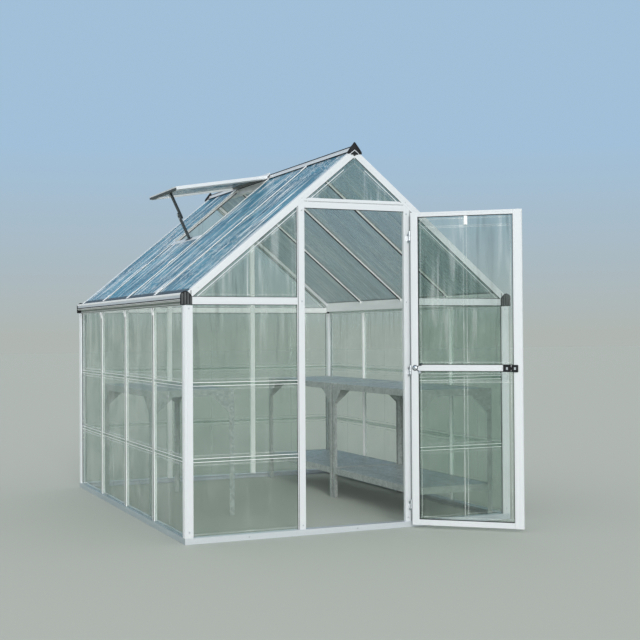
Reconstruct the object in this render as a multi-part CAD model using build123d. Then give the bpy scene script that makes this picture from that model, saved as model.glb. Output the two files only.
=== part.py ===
from build123d import *
import os
from math import atan2, cos, radians, sin, tan

# Walk-in greenhouse with an aluminium frame and clear polycarbonate panels.
# Millimetres. X runs across the gable, Y from the door to the back, Z up from the ground.
# The pieces are drawn about the middle of the footprint, then moved back by half the length,
# so that the origin is on the ground under the doorway's middle, in the plane of the front posts.
# The door and the roof window stand open.

# Overall sizes, to the outer faces of the posts and to the roof line
WIDTH = 1850.0
LENGTH = 2470.0
RIDGE_Z = 2013.0
EAVE_Z = 1241.0
SIDE_BAYS = 4
END_BAYS = 3

# Base rail, a folded channel open inwards, whose face is flush with the corner posts'
BASE_HEIGHT = 30.0
BASE_PROUD = 10.0
BASE_DEPTH = 45.0
BASE_WALL = 2.0

# Frame sections
FLANGE = 3.0
FRAME_DEPTH = 20.0
CORNER_LEG = 34.0
CORNER_WALL = 2.0
STUD_WIDTH = 34.0
STUD_WEB = 8.0
DOOR_POST_WIDTH = 42.0
DOOR_POST_TUBE = 26.0
DOOR_POST_WALL = 2.0
RAIL_DROP = 55.0
RAIL_HEIGHT = 37.0
HEADER_DROP = 38.0
HEADER_HEIGHT = 34.0
HEADER_WEB = 15.0

# Roof members, measured square to the slope
RAFTER_FACE = 36.0
RAFTER_BODY = 25.0
RAFTER_LIP = 15.0
BAR_WIDTH = 30.0
BAR_WEB = 6.0

# Panels
WALL_PANEL = 3.0
ROOF_PANEL = 4.0
PANEL_PLAY = 1.0
ROOF_PANEL_OVERHANG = 17.0
STRIP_LOW = 410.0
STRIP_HIGH = 788.0
STRIP_HEIGHT = 10.0

# Eave gutter, given by its distances out from the wall's outer face
GUTTER_REACH = 25.0
GUTTER_WALL = 4.0
GUTTER_INSET = 30.0
GUTTER_DROP = 61.0
GUTTER_TROUGH = 38.0
GUTTER_LIP = 2.0
GUTTER_BODY_DROP = 46.0
CAP_THICKNESS = 6.0
CAP_MARGIN = 3.0
CAP_TOP = 14.0

# Ridge beam
RIDGE_WEB = 6.0
RIDGE_FOOT_DROP = 55.0
RIDGE_FOOT_WIDTH = 28.0
RIDGE_FOOT_THICK = 4.0
RIDGE_WING = 38.0
RIDGE_WING_THICK = 4.0
RIDGE_HEAD_WIDTH = 18.0
RIDGE_HEAD_RISE = 14.0
RIDGE_TOP_RISE = 28.0
RIDGE_CAP_RISE = 32.0

# Roof window in one bay of the left slope, propped open
VENT_BAY = 2
VENT_OPENING = 600.0
VENT_LENGTH = 590.0
VENT_RAIL = 30.0
VENT_DEPTH = 18.0
VENT_DROP_DEG = 9.2
VENT_HINGE_OUT = 28.0
VENT_HINGE_RISE = 5.0
VENT_SIDE_PLAY = 4.0
VENT_ARM_Y = 210.0
VENT_ARM_WIDTH = 20.0
VENT_ARM_THICK = 6.0
VENT_SILL_WIDTH = 30.0

# Door leaf, hung on the right door post in front of the frame
LEAF_BOTTOM = 16.0
LEAF_TOP_GAP = 9.0
LEAF_DEPTH = 20.0
LEAF_STANDOFF = 18.0
LEAF_LAP = 8.0
STILE_WIDTH = 48.0
HINGE_STILE_WIDTH = 38.0
TOP_RAIL_HEIGHT = 24.0
MID_RAIL_BOTTOM = 834.0
MID_RAIL_HEIGHT = 32.0
BOTTOM_RAIL_HEIGHT = 30.0
PANE_GROOVE = 10.0
PANE_PLAY = 0.15
DOOR_OPEN_DEG = 138.5

# Door hinges
HINGE_LOW = 100.0
HINGE_TOP_DROP = 148.0
HINGE_REACH = 8.0
KNUCKLE_RADIUS = 6.0
KNUCKLE_HEIGHT = 24.0
KNUCKLE_GAP = 0.3
PIN_RADIUS = 2.5
PIN_PLAY = 0.05
HINGE_PLATE = 3.0
HINGE_WEB = 4.0
HINGE_PLATE_WIDTH = 20.0
HINGE_PLATE_MARGIN = 12.0

# Door handle
HANDLE_LEVEL = 848.0
HANDLE_HEIGHT = 42.0
HANDLE_PLATE = 26.0
HANDLE_PLATE_THICK = 10.0
HANDLE_GRIP = 56.0
HANDLE_STANDOFF = 4.0

# Plant stands along the side walls: two with a lower tier on the right, one without it on the left
STAND_TOP = 720.0
STAND_TIER = 185.0
STAND_DEPTH = 490.0
STAND_LENGTH = 1120.0
STAND_GAP = 20.0
LEFT_STAND_SETBACK = 800.0
STAND_LEG = 30.0
STAND_LEG_WALL = 2.0
TRAY_EDGE = 36.0
TRAY_WALL = 2.0

# How far a cutting shape reaches past what it cuts
CUT_MARGIN = 1.0

# Places that follow from the sizes
HALF_WIDTH = WIDTH / 2
HALF_LENGTH = LENGTH / 2
SLOPE = atan2(RIDGE_Z - EAVE_Z, HALF_WIDTH)
SIDE_BAY = LENGTH / SIDE_BAYS
END_BAY = WIDTH / END_BAYS
POST_TOP = EAVE_Z - GUTTER_DROP
SIDE_STUDS = [-HALF_LENGTH + SIDE_BAY * i for i in range(1, SIDE_BAYS)]
DOOR_POST_X = END_BAY / 2
DOORWAY_HALF = DOOR_POST_X - DOOR_POST_WIDTH / 2
DOOR_POST_OUTER = DOORWAY_HALF + DOOR_POST_WIDTH
GUTTER_INNER = HALF_WIDTH - GUTTER_INSET
BAR_TOP = RIDGE_WEB / 2
RAIL_MIDDLE = EAVE_Z - RAIL_DROP + RAIL_HEIGHT / 2
RIDGE_FOOT_Z = RIDGE_Z - RIDGE_FOOT_DROP
STRIP_LEVELS = (STRIP_LOW, STRIP_HIGH)
PANEL_OUTER = FLANGE
PANEL_INNER = FLANGE + WALL_PANEL


def roof_z(out, drop=0.0):
    """Height of the roof line at a distance out from the middle, less a drop square to the slope."""
    return RIDGE_Z - out * tan(SLOPE) - drop / cos(SLOPE)


def roof_out(z, drop=0.0):
    """Distance out from the middle where the roof line, less a drop, has this height."""
    return (RIDGE_Z - z - drop / cos(SLOPE)) / tan(SLOPE)


# Places that follow from the roof line
HEADER_BOTTOM = roof_z(DOORWAY_HALF, RAFTER_FACE) - HEADER_DROP
HEADER_TOP = HEADER_BOTTOM + HEADER_HEIGHT
HEADER_WEB_BOTTOM = HEADER_BOTTOM + (HEADER_HEIGHT - HEADER_WEB) / 2
HEADER_WEB_TOP = HEADER_WEB_BOTTOM + HEADER_WEB

# Edges of the panels' bays
CORNER_LAP = CORNER_LEG - STUD_WIDTH / 2 + STUD_WEB / 2 + PANEL_PLAY
WALL_PANEL_TOP = EAVE_Z - GUTTER_BODY_DROP - PANEL_PLAY
GABLE_PANEL_BOTTOM = RAIL_MIDDLE + STUD_WEB / 2 + PANEL_PLAY
DOOR_POST_EDGE = DOORWAY_HALF + DOOR_POST_TUBE + PANEL_PLAY
BACK_STUD_EDGE = DOOR_POST_X + STUD_WEB / 2 + PANEL_PLAY
RAFTER_POCKET = RAFTER_BODY + PANEL_PLAY

# Places of the roof window
SILL_OUT = VENT_OPENING * cos(SLOPE)
SILL_HALF_WEB = BAR_WEB / 2
VENT_START = -HALF_LENGTH + SIDE_BAY * VENT_BAY
VENT_DROP = radians(VENT_DROP_DEG)
VENT_HINGE_Z = RIDGE_Z + VENT_HINGE_RISE
VENT_PANE_DEPTH = VENT_DEPTH / 2

# Places of the door leaf when it is closed
DOOR_FACE = -HALF_LENGTH - LEAF_STANDOFF
LEAF_MIDDLE = DOOR_FACE - LEAF_DEPTH / 2
LEAF_FRONT = DOOR_FACE - LEAF_DEPTH
LEAF_LEFT = -DOORWAY_HALF - LEAF_LAP
PIN_X = DOOR_POST_X
LEAF_RIGHT = PIN_X - HINGE_REACH
LEAF_TOP = HEADER_BOTTOM - LEAF_TOP_GAP
HINGE_HIGH = LEAF_TOP - HINGE_TOP_DROP
HINGE_LEVELS = (HINGE_LOW, (HINGE_LOW + HINGE_HIGH) / 2, HINGE_HIGH)
DOOR_AXIS = Axis((PIN_X, LEAF_MIDDLE, 0), (0, 0, 1))


def prism(points, along):
    """A closed outline of points in space, extruded along a vector."""
    outline = Wire.make_polygon([Vector(*point) for point in points], close=True)
    return Solid.extrude(Face(outline), Vector(*along))


def block(x0, x1, y0, y1, z0, z1):
    """A box between two corners."""
    low = Vector(min(x0, x1), min(y0, y1), min(z0, z1))
    size = Vector(abs(x1 - x0), abs(y1 - y0), abs(z1 - z0))
    return Solid.make_box(size.X, size.Y, size.Z, Plane(low))


def upright(outline, z0, z1):
    """An outline of (x, y) points, extruded from z0 to z1."""
    return prism([(x, y, z0) for x, y in outline], (0, 0, z1 - z0))


def lengthwise(outline, y0, y1):
    """An outline of (x, z) points, extruded from y0 to y1."""
    return prism([(x, y0, z) for x, z in outline], (0, y1 - y0, 0))


def crosswise(outline, x0, x1):
    """An outline of (y, z) points, extruded from x0 to x1."""
    return prism([(x0, y, z) for y, z in outline], (x1 - x0, 0, 0))


def solids_of(shapes):
    """Every solid in a list of shapes."""
    return [solid for shape in shapes for solid in shape.solids()]


def sloped_band(side, out0, out1, drop0, drop1, y0, y1):
    """A member along the roof slope of one side, with upright ends."""
    outline = [
        (side * out0, roof_z(out0, drop0)),
        (side * out1, roof_z(out1, drop0)),
        (side * out1, roof_z(out1, drop1)),
        (side * out0, roof_z(out0, drop1)),
    ]
    return lengthwise(outline, y0, y1)


# Base

def base_ring(proud, depth, z0, z1):
    """A rectangular ring whose outer face stands proud of the posts."""
    outer = block(-HALF_WIDTH - proud, HALF_WIDTH + proud, -HALF_LENGTH - proud, HALF_LENGTH + proud, z0, z1)
    inset = proud - depth
    inner = block(-HALF_WIDTH - inset, HALF_WIDTH + inset, -HALF_LENGTH - inset, HALF_LENGTH + inset, z0, z1)
    return outer - inner


def base_rail(ring, x_side, y_side):
    """The mitred rail of one side of the ring."""
    x_out = HALF_WIDTH + BASE_PROUD
    y_out = HALF_LENGTH + BASE_PROUD
    if y_side:
        corners = [
            (-x_out, y_side * y_out),
            (x_out, y_side * y_out),
            (x_out - BASE_DEPTH, y_side * (y_out - BASE_DEPTH)),
            (-x_out + BASE_DEPTH, y_side * (y_out - BASE_DEPTH)),
        ]
    else:
        corners = [
            (x_side * x_out, -y_out),
            (x_side * x_out, y_out),
            (x_side * (x_out - BASE_DEPTH), y_out - BASE_DEPTH),
            (x_side * (x_out - BASE_DEPTH), -y_out + BASE_DEPTH),
        ]
    return ring & upright(corners, 0, BASE_HEIGHT)


def make_base():
    """The four base rails."""
    shell = base_ring(BASE_PROUD, BASE_DEPTH, 0, BASE_HEIGHT)
    hollow = base_ring(BASE_PROUD - BASE_WALL, BASE_DEPTH - BASE_WALL, BASE_WALL, BASE_HEIGHT - BASE_WALL)
    ring = shell - hollow
    return {
        "base_rail_front": [base_rail(ring, 0, -1)],
        "base_rail_back": [base_rail(ring, 0, 1)],
        "base_rail_left": [base_rail(ring, -1, 0)],
        "base_rail_right": [base_rail(ring, 1, 0)],
    }


# Uprights

def angle_outline(leg, wall):
    """Pairs of an angle section with two equal legs."""
    return [(0, 0), (leg, 0), (leg, wall), (wall, wall), (wall, leg), (0, leg)]


def corner_shell(x_side, y_side, inset):
    """The corner post's outer angle, or its bore where it is inset by the wall."""
    leg = CORNER_LEG + BASE_PROUD - 2 * inset
    thick = FLANGE + BASE_PROUD - 2 * inset
    x = HALF_WIDTH + BASE_PROUD - inset
    y = HALF_LENGTH + BASE_PROUD - inset
    corners = [(x_side * (x - a), y_side * (y - b)) for a, b in angle_outline(leg, thick)]
    return upright(corners, BASE_HEIGHT, POST_TOP)


def corner_post(x_side, y_side):
    """A hollow angle section at one corner, flush with the base rail, up to the gutter."""
    return corner_shell(x_side, y_side, 0) - corner_shell(x_side, y_side, CORNER_WALL)


def tee_outline(middle, width, web):
    """Pairs (along the wall, in from its outer face) of a tee section."""
    return [
        (middle - width / 2, 0),
        (middle + width / 2, 0),
        (middle + width / 2, FLANGE),
        (middle + web / 2, FLANGE),
        (middle + web / 2, FRAME_DEPTH),
        (middle - web / 2, FRAME_DEPTH),
        (middle - web / 2, FLANGE),
        (middle - width / 2, FLANGE),
    ]


def side_stud(x_side, y):
    """A glazing bar of a side wall."""
    outline = [(x_side * (HALF_WIDTH - b), a) for a, b in tee_outline(y, STUD_WIDTH, STUD_WEB)]
    return upright(outline, BASE_HEIGHT, POST_TOP)


def under_rafter(solid, x, y_side, half_width):
    """An upright of a gable wall, cut off along the rafter's lower edge."""
    low, high = abs(x) - half_width, abs(x) + half_width
    sign = 1 if x > 0 else -1
    top = RIDGE_Z + RAFTER_FACE
    wedge = [
        (sign * low, roof_z(low, RAFTER_FACE)),
        (sign * high, roof_z(high, RAFTER_FACE)),
        (sign * high, top),
        (sign * low, top),
    ]
    y0 = y_side * (HALF_LENGTH + CUT_MARGIN)
    y1 = y_side * (HALF_LENGTH - FRAME_DEPTH - CUT_MARGIN)
    return solid - lengthwise(wedge, y0, y1)


def back_stud(x):
    """A glazing bar of the back wall, up to the rafter."""
    outline = [(a, HALF_LENGTH - b) for a, b in tee_outline(x, STUD_WIDTH, STUD_WEB)]
    return under_rafter(upright(outline, BASE_HEIGHT, RIDGE_Z), x, 1, STUD_WIDTH)


def door_post(side):
    """A tube beside the doorway with a flange over the wall panel's edge."""
    face = -HALF_LENGTH
    inner = side * DOORWAY_HALF
    outer = side * DOOR_POST_OUTER
    tube = side * (DOORWAY_HALF + DOOR_POST_TUBE)
    flange = block(inner, outer, face, face + FLANGE, BASE_HEIGHT, RIDGE_Z)
    shell = block(inner, tube, face, face + FRAME_DEPTH, BASE_HEIGHT, RIDGE_Z)
    bore = block(
        inner + side * DOOR_POST_WALL,
        tube - side * DOOR_POST_WALL,
        face + FLANGE,
        face + FRAME_DEPTH - DOOR_POST_WALL,
        BASE_HEIGHT,
        RIDGE_Z,
    )
    return under_rafter(flange + shell - bore, side * DOOR_POST_X, -1, DOOR_POST_WIDTH)


def make_uprights():
    """Corner posts, wall studs and door posts."""
    return {
        "corner_posts": [corner_post(x, y) for x in (-1, 1) for y in (-1, 1)],
        "side_studs": [side_stud(x, y) for x in (-1, 1) for y in SIDE_STUDS],
        "back_studs": [back_stud(-DOOR_POST_X), back_stud(DOOR_POST_X)],
        "door_posts": [door_post(-1), door_post(1)],
    }


# Rails of the gable walls

def gable_rail(x0, x1, y_side):
    """A horizontal tee at eave height, cut off under the rafter."""
    outline = [(y_side * (HALF_LENGTH - b), a) for a, b in tee_outline(RAIL_MIDDLE, RAIL_HEIGHT, STUD_WEB)]
    rail = crosswise(outline, x0, x1)
    side = 1 if x0 + x1 > 0 else -1
    y0 = y_side * (HALF_LENGTH + CUT_MARGIN)
    y1 = y_side * (HALF_LENGTH - FRAME_DEPTH - CUT_MARGIN)
    over = sloped_band(side, 0, HALF_WIDTH + CORNER_LEG, -RAFTER_FACE, RAFTER_FACE, y0, y1)
    return rail - over


def door_header():
    """The rail over the doorway, between the door posts."""
    half = DOORWAY_HALF
    face = -HALF_LENGTH
    behind = face + FLANGE
    flange = block(-half, half, face, behind, HEADER_BOTTOM, HEADER_TOP)
    return flange + block(-half, half, behind, face + FRAME_DEPTH, HEADER_WEB_BOTTOM, HEADER_WEB_TOP)


def make_rails():
    """Rails at eave height and the door header."""
    corner = HALF_WIDTH - CORNER_LEG
    stud = DOOR_POST_X + STUD_WIDTH / 2
    middle = DOOR_POST_X - STUD_WIDTH / 2
    return {
        "door_header": [door_header()],
        "front_rails": [gable_rail(-corner, -DOOR_POST_OUTER, -1), gable_rail(DOOR_POST_OUTER, corner, -1)],
        "back_rails": [
            gable_rail(-corner, -stud, 1),
            gable_rail(-middle, middle, 1),
            gable_rail(stud, corner, 1),
        ],
    }


# Eaves

def gutter(side):
    """The eave gutter, whose inner upstand carries the roof and whose lower flange holds the panels."""
    under = FLANGE + ROOF_PANEL
    reach = HALF_WIDTH + GUTTER_REACH
    floor = EAVE_Z - GUTTER_TROUGH
    wall = GUTTER_WALL
    body = EAVE_Z - GUTTER_BODY_DROP
    outline = [
        (HALF_WIDTH - FLANGE, POST_TOP),
        (HALF_WIDTH, POST_TOP),
        (HALF_WIDTH, floor),
        (reach, floor),
        (reach, EAVE_Z + GUTTER_LIP),
        (reach - wall, EAVE_Z + GUTTER_LIP),
        (reach - wall, floor + wall),
        (GUTTER_INNER + wall, floor + wall),
        (GUTTER_INNER + wall, roof_z(GUTTER_INNER + wall, under)),
        (GUTTER_INNER, roof_z(GUTTER_INNER, under)),
        (GUTTER_INNER, body),
        (HALF_WIDTH - FLANGE, body),
    ]
    return lengthwise([(side * out, z) for out, z in outline], -HALF_LENGTH, HALF_LENGTH)


def gutter_cap(x_side, y_side):
    """A moulded end cap on a gutter's end."""
    inner = HALF_WIDTH - CORNER_LEG
    outer = HALF_WIDTH + GUTTER_REACH + CAP_MARGIN
    low = POST_TOP + FLANGE
    face = y_side * HALF_LENGTH
    outline = [
        (inner, low),
        (HALF_WIDTH + CAP_MARGIN, low),
        (outer, EAVE_Z - GUTTER_TROUGH - CAP_MARGIN),
        (outer, EAVE_Z + GUTTER_LIP + CAP_MARGIN),
        (inner + CAP_TOP, EAVE_Z + GUTTER_LIP + CAP_TOP),
        (inner, EAVE_Z + GUTTER_LIP),
    ]
    return lengthwise([(x_side * out, z) for out, z in outline], face, face + y_side * CAP_THICKNESS)


def make_eaves():
    """Both gutters and their four end caps."""
    return {
        "gutter_left": [gutter(-1)],
        "gutter_right": [gutter(1)],
        "gutter_end_caps": [gutter_cap(x, y) for x in (-1, 1) for y in (-1, 1)],
    }


# Roof frame

def rafter(x_side, y_side):
    """An end rafter with a front face, a body behind it and a lip over the roof panel's edge."""
    face = y_side * HALF_LENGTH
    behind = y_side * (HALF_LENGTH - FLANGE)
    back = y_side * (HALF_LENGTH - FRAME_DEPTH)
    lip = y_side * (HALF_LENGTH - FRAME_DEPTH - RAFTER_LIP)
    front = sloped_band(x_side, BAR_TOP, GUTTER_INNER, 0, RAFTER_FACE, face, behind)
    body = sloped_band(x_side, BAR_TOP, GUTTER_INNER, 0, RAFTER_BODY, behind, back)
    over = sloped_band(x_side, BAR_TOP, GUTTER_INNER, 0, FLANGE, back, lip)
    return front + body + over


def roof_bar(x_side, y):
    """A tee-shaped glazing bar from the ridge to the gutter."""
    half = BAR_WIDTH / 2
    flange = sloped_band(x_side, BAR_TOP, GUTTER_INNER, 0, FLANGE, y - half, y + half)
    web = sloped_band(x_side, BAR_TOP, GUTTER_INNER, FLANGE, FRAME_DEPTH, y - BAR_WEB / 2, y + BAR_WEB / 2)
    return flange + web


def ridge_profile():
    """Points (out, z) of the right half of the ridge beam without its foot, from below to its top."""
    web = RIDGE_WEB / 2
    head = RIDGE_HEAD_WIDTH / 2
    return [
        (web, RIDGE_FOOT_Z),
        (web, roof_z(web)),
        (RIDGE_WING, roof_z(RIDGE_WING)),
        (RIDGE_WING, roof_z(RIDGE_WING, -RIDGE_WING_THICK)),
        (web, roof_z(web, -RIDGE_WING_THICK)),
        (web, RIDGE_Z + RIDGE_HEAD_RISE),
        (head, RIDGE_Z + RIDGE_HEAD_RISE),
        (head, RIDGE_Z + RIDGE_TOP_RISE - FLANGE),
        (web, RIDGE_Z + RIDGE_TOP_RISE),
    ]


def ridge_beam():
    """The ridge beam, whose web the bars meet, with wings above them and a foot below."""
    right = ridge_profile()
    left = [(-out, z) for out, z in reversed(right)]
    foot = RIDGE_FOOT_WIDTH / 2
    end = HALF_LENGTH - FLANGE
    beam = lengthwise(right + left, -HALF_LENGTH, HALF_LENGTH)
    return beam + block(-foot, foot, -end, end, RIDGE_FOOT_Z, RIDGE_FOOT_Z + RIDGE_FOOT_THICK)


def ridge_cap(y_side):
    """A moulded cap on the ridge beam's end."""
    wing = RIDGE_WING + CAP_MARGIN
    head = RIDGE_HEAD_WIDTH / 2 + CAP_MARGIN
    right = [
        (wing, roof_z(wing, CAP_MARGIN)),
        (wing, roof_z(wing, -RIDGE_WING_THICK - CAP_MARGIN)),
        (head, RIDGE_Z + RIDGE_HEAD_RISE),
        (CAP_MARGIN, RIDGE_Z + RIDGE_CAP_RISE),
    ]
    left = [(-out, z) for out, z in reversed(right)]
    foot = [(0, roof_z(0, RAFTER_BODY))]
    face = y_side * HALF_LENGTH
    return lengthwise(right + left + foot, face, face + y_side * CAP_THICKNESS)


def make_roof_frame():
    """Rafters, roof bars and the ridge."""
    return {
        "front_rafters": [rafter(-1, -1), rafter(1, -1)],
        "back_rafters": [rafter(-1, 1), rafter(1, 1)],
        "roof_bars": [roof_bar(x, y) for x in (-1, 1) for y in SIDE_STUDS],
        "ridge_beam": [ridge_beam()],
        "ridge_end_caps": [ridge_cap(-1), ridge_cap(1)],
    }


# Panels

def bay_edges(length, posts, first, last, web):
    """Start and end of the panel in each bay of a wall, between its uprights' webs."""
    starts = [-length / 2 + first] + [y + web / 2 + PANEL_PLAY for y in posts]
    ends = [y - web / 2 - PANEL_PLAY for y in posts] + [length / 2 - last]
    return list(zip(starts, ends))


def side_wall_panels(x_side):
    """The four panels of a side wall."""
    outer = x_side * (HALF_WIDTH - PANEL_OUTER)
    inner = x_side * (HALF_WIDTH - PANEL_INNER)
    edges = bay_edges(LENGTH, SIDE_STUDS, CORNER_LAP, CORNER_LAP, STUD_WEB)
    return [block(outer, inner, start, end, BASE_HEIGHT, WALL_PANEL_TOP) for start, end in edges]


def under_roof(outline_x, bottom, y_side):
    """A gable panel between two x values of one side of the middle, up to the rafter's pocket."""
    near, far = outline_x
    sign = 1 if near + far > 0 else -1
    low, high = sorted((abs(near), abs(far)))
    corners = [
        (low, bottom),
        (high, bottom),
        (high, roof_z(high, RAFTER_POCKET)),
        (low, roof_z(low, RAFTER_POCKET)),
    ]
    face = y_side * (HALF_LENGTH - PANEL_OUTER)
    return lengthwise([(sign * out, z) for out, z in corners], face, face - y_side * WALL_PANEL)


def middle_gable_panel(edge, bottom, y_side):
    """The five-sided gable panel below the ridge, clear of the ridge beam's foot."""
    crown = RIDGE_FOOT_Z - PANEL_PLAY
    shoulder = roof_out(crown, RAFTER_POCKET)
    right = [(edge, bottom), (edge, roof_z(edge, RAFTER_POCKET)), (shoulder, crown)]
    left = [(-out, z) for out, z in reversed(right)]
    face = y_side * (HALF_LENGTH - PANEL_OUTER)
    return lengthwise(right + left, face, face - y_side * WALL_PANEL)


def end_wall_panels(y_side, inner_edges):
    """Panels of a gable wall up to the eave rail, given the inner edges of its bays."""
    outer = y_side * (HALF_LENGTH - PANEL_OUTER)
    inner = y_side * (HALF_LENGTH - PANEL_INNER)
    return [block(x0, x1, outer, inner, BASE_HEIGHT, WALL_PANEL_TOP) for x0, x1 in inner_edges]


def roof_panels(x_side):
    """The panels of one slope, with the roof window's bay glazed below its sill only."""
    first = FRAME_DEPTH + PANEL_PLAY
    edges = bay_edges(LENGTH, SIDE_STUDS, first, first, BAR_WEB)
    end = GUTTER_INNER + ROOF_PANEL_OVERHANG
    panels = []
    for bay, (start, stop) in enumerate(edges):
        top = BAR_TOP + PANEL_PLAY
        if x_side < 0 and bay == VENT_BAY:
            top = SILL_OUT + SILL_HALF_WEB + PANEL_PLAY
        panels.append(sloped_band(x_side, top, end, FLANGE, FLANGE + ROOF_PANEL, start, stop))
    return panels


def strips(start, end, place):
    """The joint strips across one bay, at each level."""
    low = [level - STRIP_HEIGHT / 2 for level in STRIP_LEVELS]
    return [place(start, end, z, z + STRIP_HEIGHT) for z in low]


def joint_strips():
    """Horizontal strips on the panels, between the uprights' flanges."""
    side_edges = [-HALF_LENGTH] + SIDE_STUDS + [HALF_LENGTH]
    found = []
    for x_side in (-1, 1):
        outer, inner = x_side * HALF_WIDTH, x_side * (HALF_WIDTH - PANEL_OUTER)
        for index in range(SIDE_BAYS):
            start = side_edges[index] + (CORNER_LEG if index == 0 else STUD_WIDTH / 2)
            end = side_edges[index + 1] - (CORNER_LEG if index == SIDE_BAYS - 1 else STUD_WIDTH / 2)
            found += strips(start, end, lambda a, b, z0, z1: block(outer, inner, a, b, z0, z1))
    corner = HALF_WIDTH - CORNER_LEG
    stud = DOOR_POST_X + STUD_WIDTH / 2
    middle = DOOR_POST_X - STUD_WIDTH / 2
    front_spans = [(-corner, -DOOR_POST_OUTER), (DOOR_POST_OUTER, corner)]
    back_spans = [(-corner, -stud), (-middle, middle), (stud, corner)]
    for y_side, spans in ((-1, front_spans), (1, back_spans)):
        outer, inner = y_side * HALF_LENGTH, y_side * (HALF_LENGTH - PANEL_OUTER)
        for start, end in spans:
            found += strips(start, end, lambda a, b, z0, z1: block(a, b, outer, inner, z0, z1))
    return found


def make_panels():
    """All wall, gable and roof panels and the strips on them."""
    corner = HALF_WIDTH - CORNER_LAP
    eave = GUTTER_INNER - PANEL_PLAY
    header_pocket = HEADER_WEB_TOP + PANEL_PLAY
    front_middle = DOORWAY_HALF - PANEL_PLAY
    back_middle = DOOR_POST_X - STUD_WEB / 2 - PANEL_PLAY
    return {
        "front_wall_panels": end_wall_panels(-1, [(-corner, -DOOR_POST_EDGE), (DOOR_POST_EDGE, corner)]),
        "front_gable_panels": [
            under_roof((-eave, -DOOR_POST_EDGE), GABLE_PANEL_BOTTOM, -1),
            middle_gable_panel(min(front_middle, roof_out(header_pocket, RAFTER_POCKET)), header_pocket, -1),
            under_roof((DOOR_POST_EDGE, eave), GABLE_PANEL_BOTTOM, -1),
        ],
        "back_wall_panels": end_wall_panels(
            1, [(-corner, -BACK_STUD_EDGE), (-back_middle, back_middle), (BACK_STUD_EDGE, corner)]
        ),
        "back_gable_panels": [
            under_roof((-eave, -BACK_STUD_EDGE), GABLE_PANEL_BOTTOM, 1),
            middle_gable_panel(back_middle, GABLE_PANEL_BOTTOM, 1),
            under_roof((BACK_STUD_EDGE, eave), GABLE_PANEL_BOTTOM, 1),
        ],
        "left_wall_panels": side_wall_panels(-1),
        "right_wall_panels": side_wall_panels(1),
        "roof_panels_left": roof_panels(-1),
        "roof_panels_right": roof_panels(1),
        "panel_joint_strips": joint_strips(),
    }


# Roof window

def vent_point(along, up):
    """A point (x, z) of the open roof window, from its hinge edge's top."""
    out = VENT_HINGE_OUT + along * cos(VENT_DROP) + up * sin(VENT_DROP)
    return (-out, VENT_HINGE_Z - along * sin(VENT_DROP) + up * cos(VENT_DROP))


def vent_member(along0, along1, up0, up1, y0, y1):
    """A straight piece of the open roof window."""
    corners = [(along0, up0), (along1, up0), (along1, up1), (along0, up1)]
    return lengthwise([vent_point(a, u) for a, u in corners], y0, y1)


def vent_pane(y0, y1, extra):
    """The roof window's pane between its outer edges y0 and y1, or its pocket with extra play."""
    lap = VENT_RAIL - PANE_GROOVE
    half = WALL_PANEL / 2 + extra
    low = -VENT_PANE_DEPTH - half
    return vent_member(lap, VENT_LENGTH - lap, low, low + 2 * half, y0 + lap, y1 - lap)


def make_vent():
    """The open roof window with its hinge, its sill and its arm."""
    y0 = VENT_START + VENT_SIDE_PLAY
    y1 = VENT_START + SIDE_BAY - VENT_SIDE_PLAY
    rail = VENT_RAIL
    pocket = vent_pane(y0, y1, PANE_PLAY)
    sides = [
        vent_member(0, VENT_LENGTH, -VENT_DEPTH, 0, y0, y0 + rail) - pocket,
        vent_member(0, VENT_LENGTH, -VENT_DEPTH, 0, y1 - rail, y1) - pocket,
    ]
    ends = [
        vent_member(0, rail, -VENT_DEPTH, 0, y0 + rail, y1 - rail) - pocket,
        vent_member(VENT_LENGTH - rail, VENT_LENGTH, -VENT_DEPTH, 0, y0 + rail, y1 - rail) - pocket,
    ]
    return {
        "vent_side_rails": sides,
        "vent_end_rails": ends,
        "vent_panel": [vent_pane(y0, y1, 0)],
        "vent_hinge": [vent_hinge(y0, y1)],
        "vent_sill": [vent_sill()],
        "vent_arm": [vent_arm()],
    }


def vent_hinge(y0, y1):
    """The strip that joins the roof window's upper edge to the head of the ridge beam."""
    head = RIDGE_HEAD_WIDTH / 2
    top = RIDGE_Z + RIDGE_TOP_RISE - FLANGE
    upper = vent_point(0, 0)
    lower = vent_point(0, -VENT_PANE_DEPTH)
    outline = [(-head, top), upper, lower, (-head, top - VENT_PANE_DEPTH)]
    return lengthwise(outline, y0, y1)


def vent_sill():
    """The tee across the bay below the opening, between the bars' webs."""
    start = VENT_START + BAR_WIDTH / 2
    stop = VENT_START + SIDE_BAY - BAR_WIDTH / 2
    half = VENT_SILL_WIDTH / 2 * cos(SLOPE)
    flange = sloped_band(-1, SILL_OUT - half, SILL_OUT + half, 0, FLANGE, start, stop)
    web_out = SILL_OUT + SILL_HALF_WEB
    web = sloped_band(-1, web_out - BAR_WEB, web_out, FLANGE, FRAME_DEPTH, start, stop)
    return flange + web


def vent_arm():
    """The folded two-part arm that props the roof window on its sill."""
    y0 = VENT_START + VENT_ARM_Y
    y1 = y0 + VENT_ARM_WIDTH
    top = vent_point(VENT_LENGTH - VENT_RAIL / 2, -VENT_DEPTH)
    foot = (-SILL_OUT, roof_z(SILL_OUT))
    run = (foot[0] - top[0], foot[1] - top[1])
    length = (run[0] ** 2 + run[1] ** 2) ** 0.5
    side = (-run[1] / length * VENT_ARM_THICK, run[0] / length * VENT_ARM_THICK)
    outline = [
        (top[0], top[1]),
        (foot[0], foot[1]),
        (foot[0] + side[0], roof_z(-foot[0] - side[0])),
        (top[0] + side[0], vent_under(top[0] + side[0])),
    ]
    return lengthwise(outline, y0, y1)


def vent_under(x):
    """Height of the open roof window's underside at an x."""
    corner = vent_point(0, -VENT_DEPTH)
    return corner[1] + (x - corner[0]) * tan(VENT_DROP)


# Door

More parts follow.
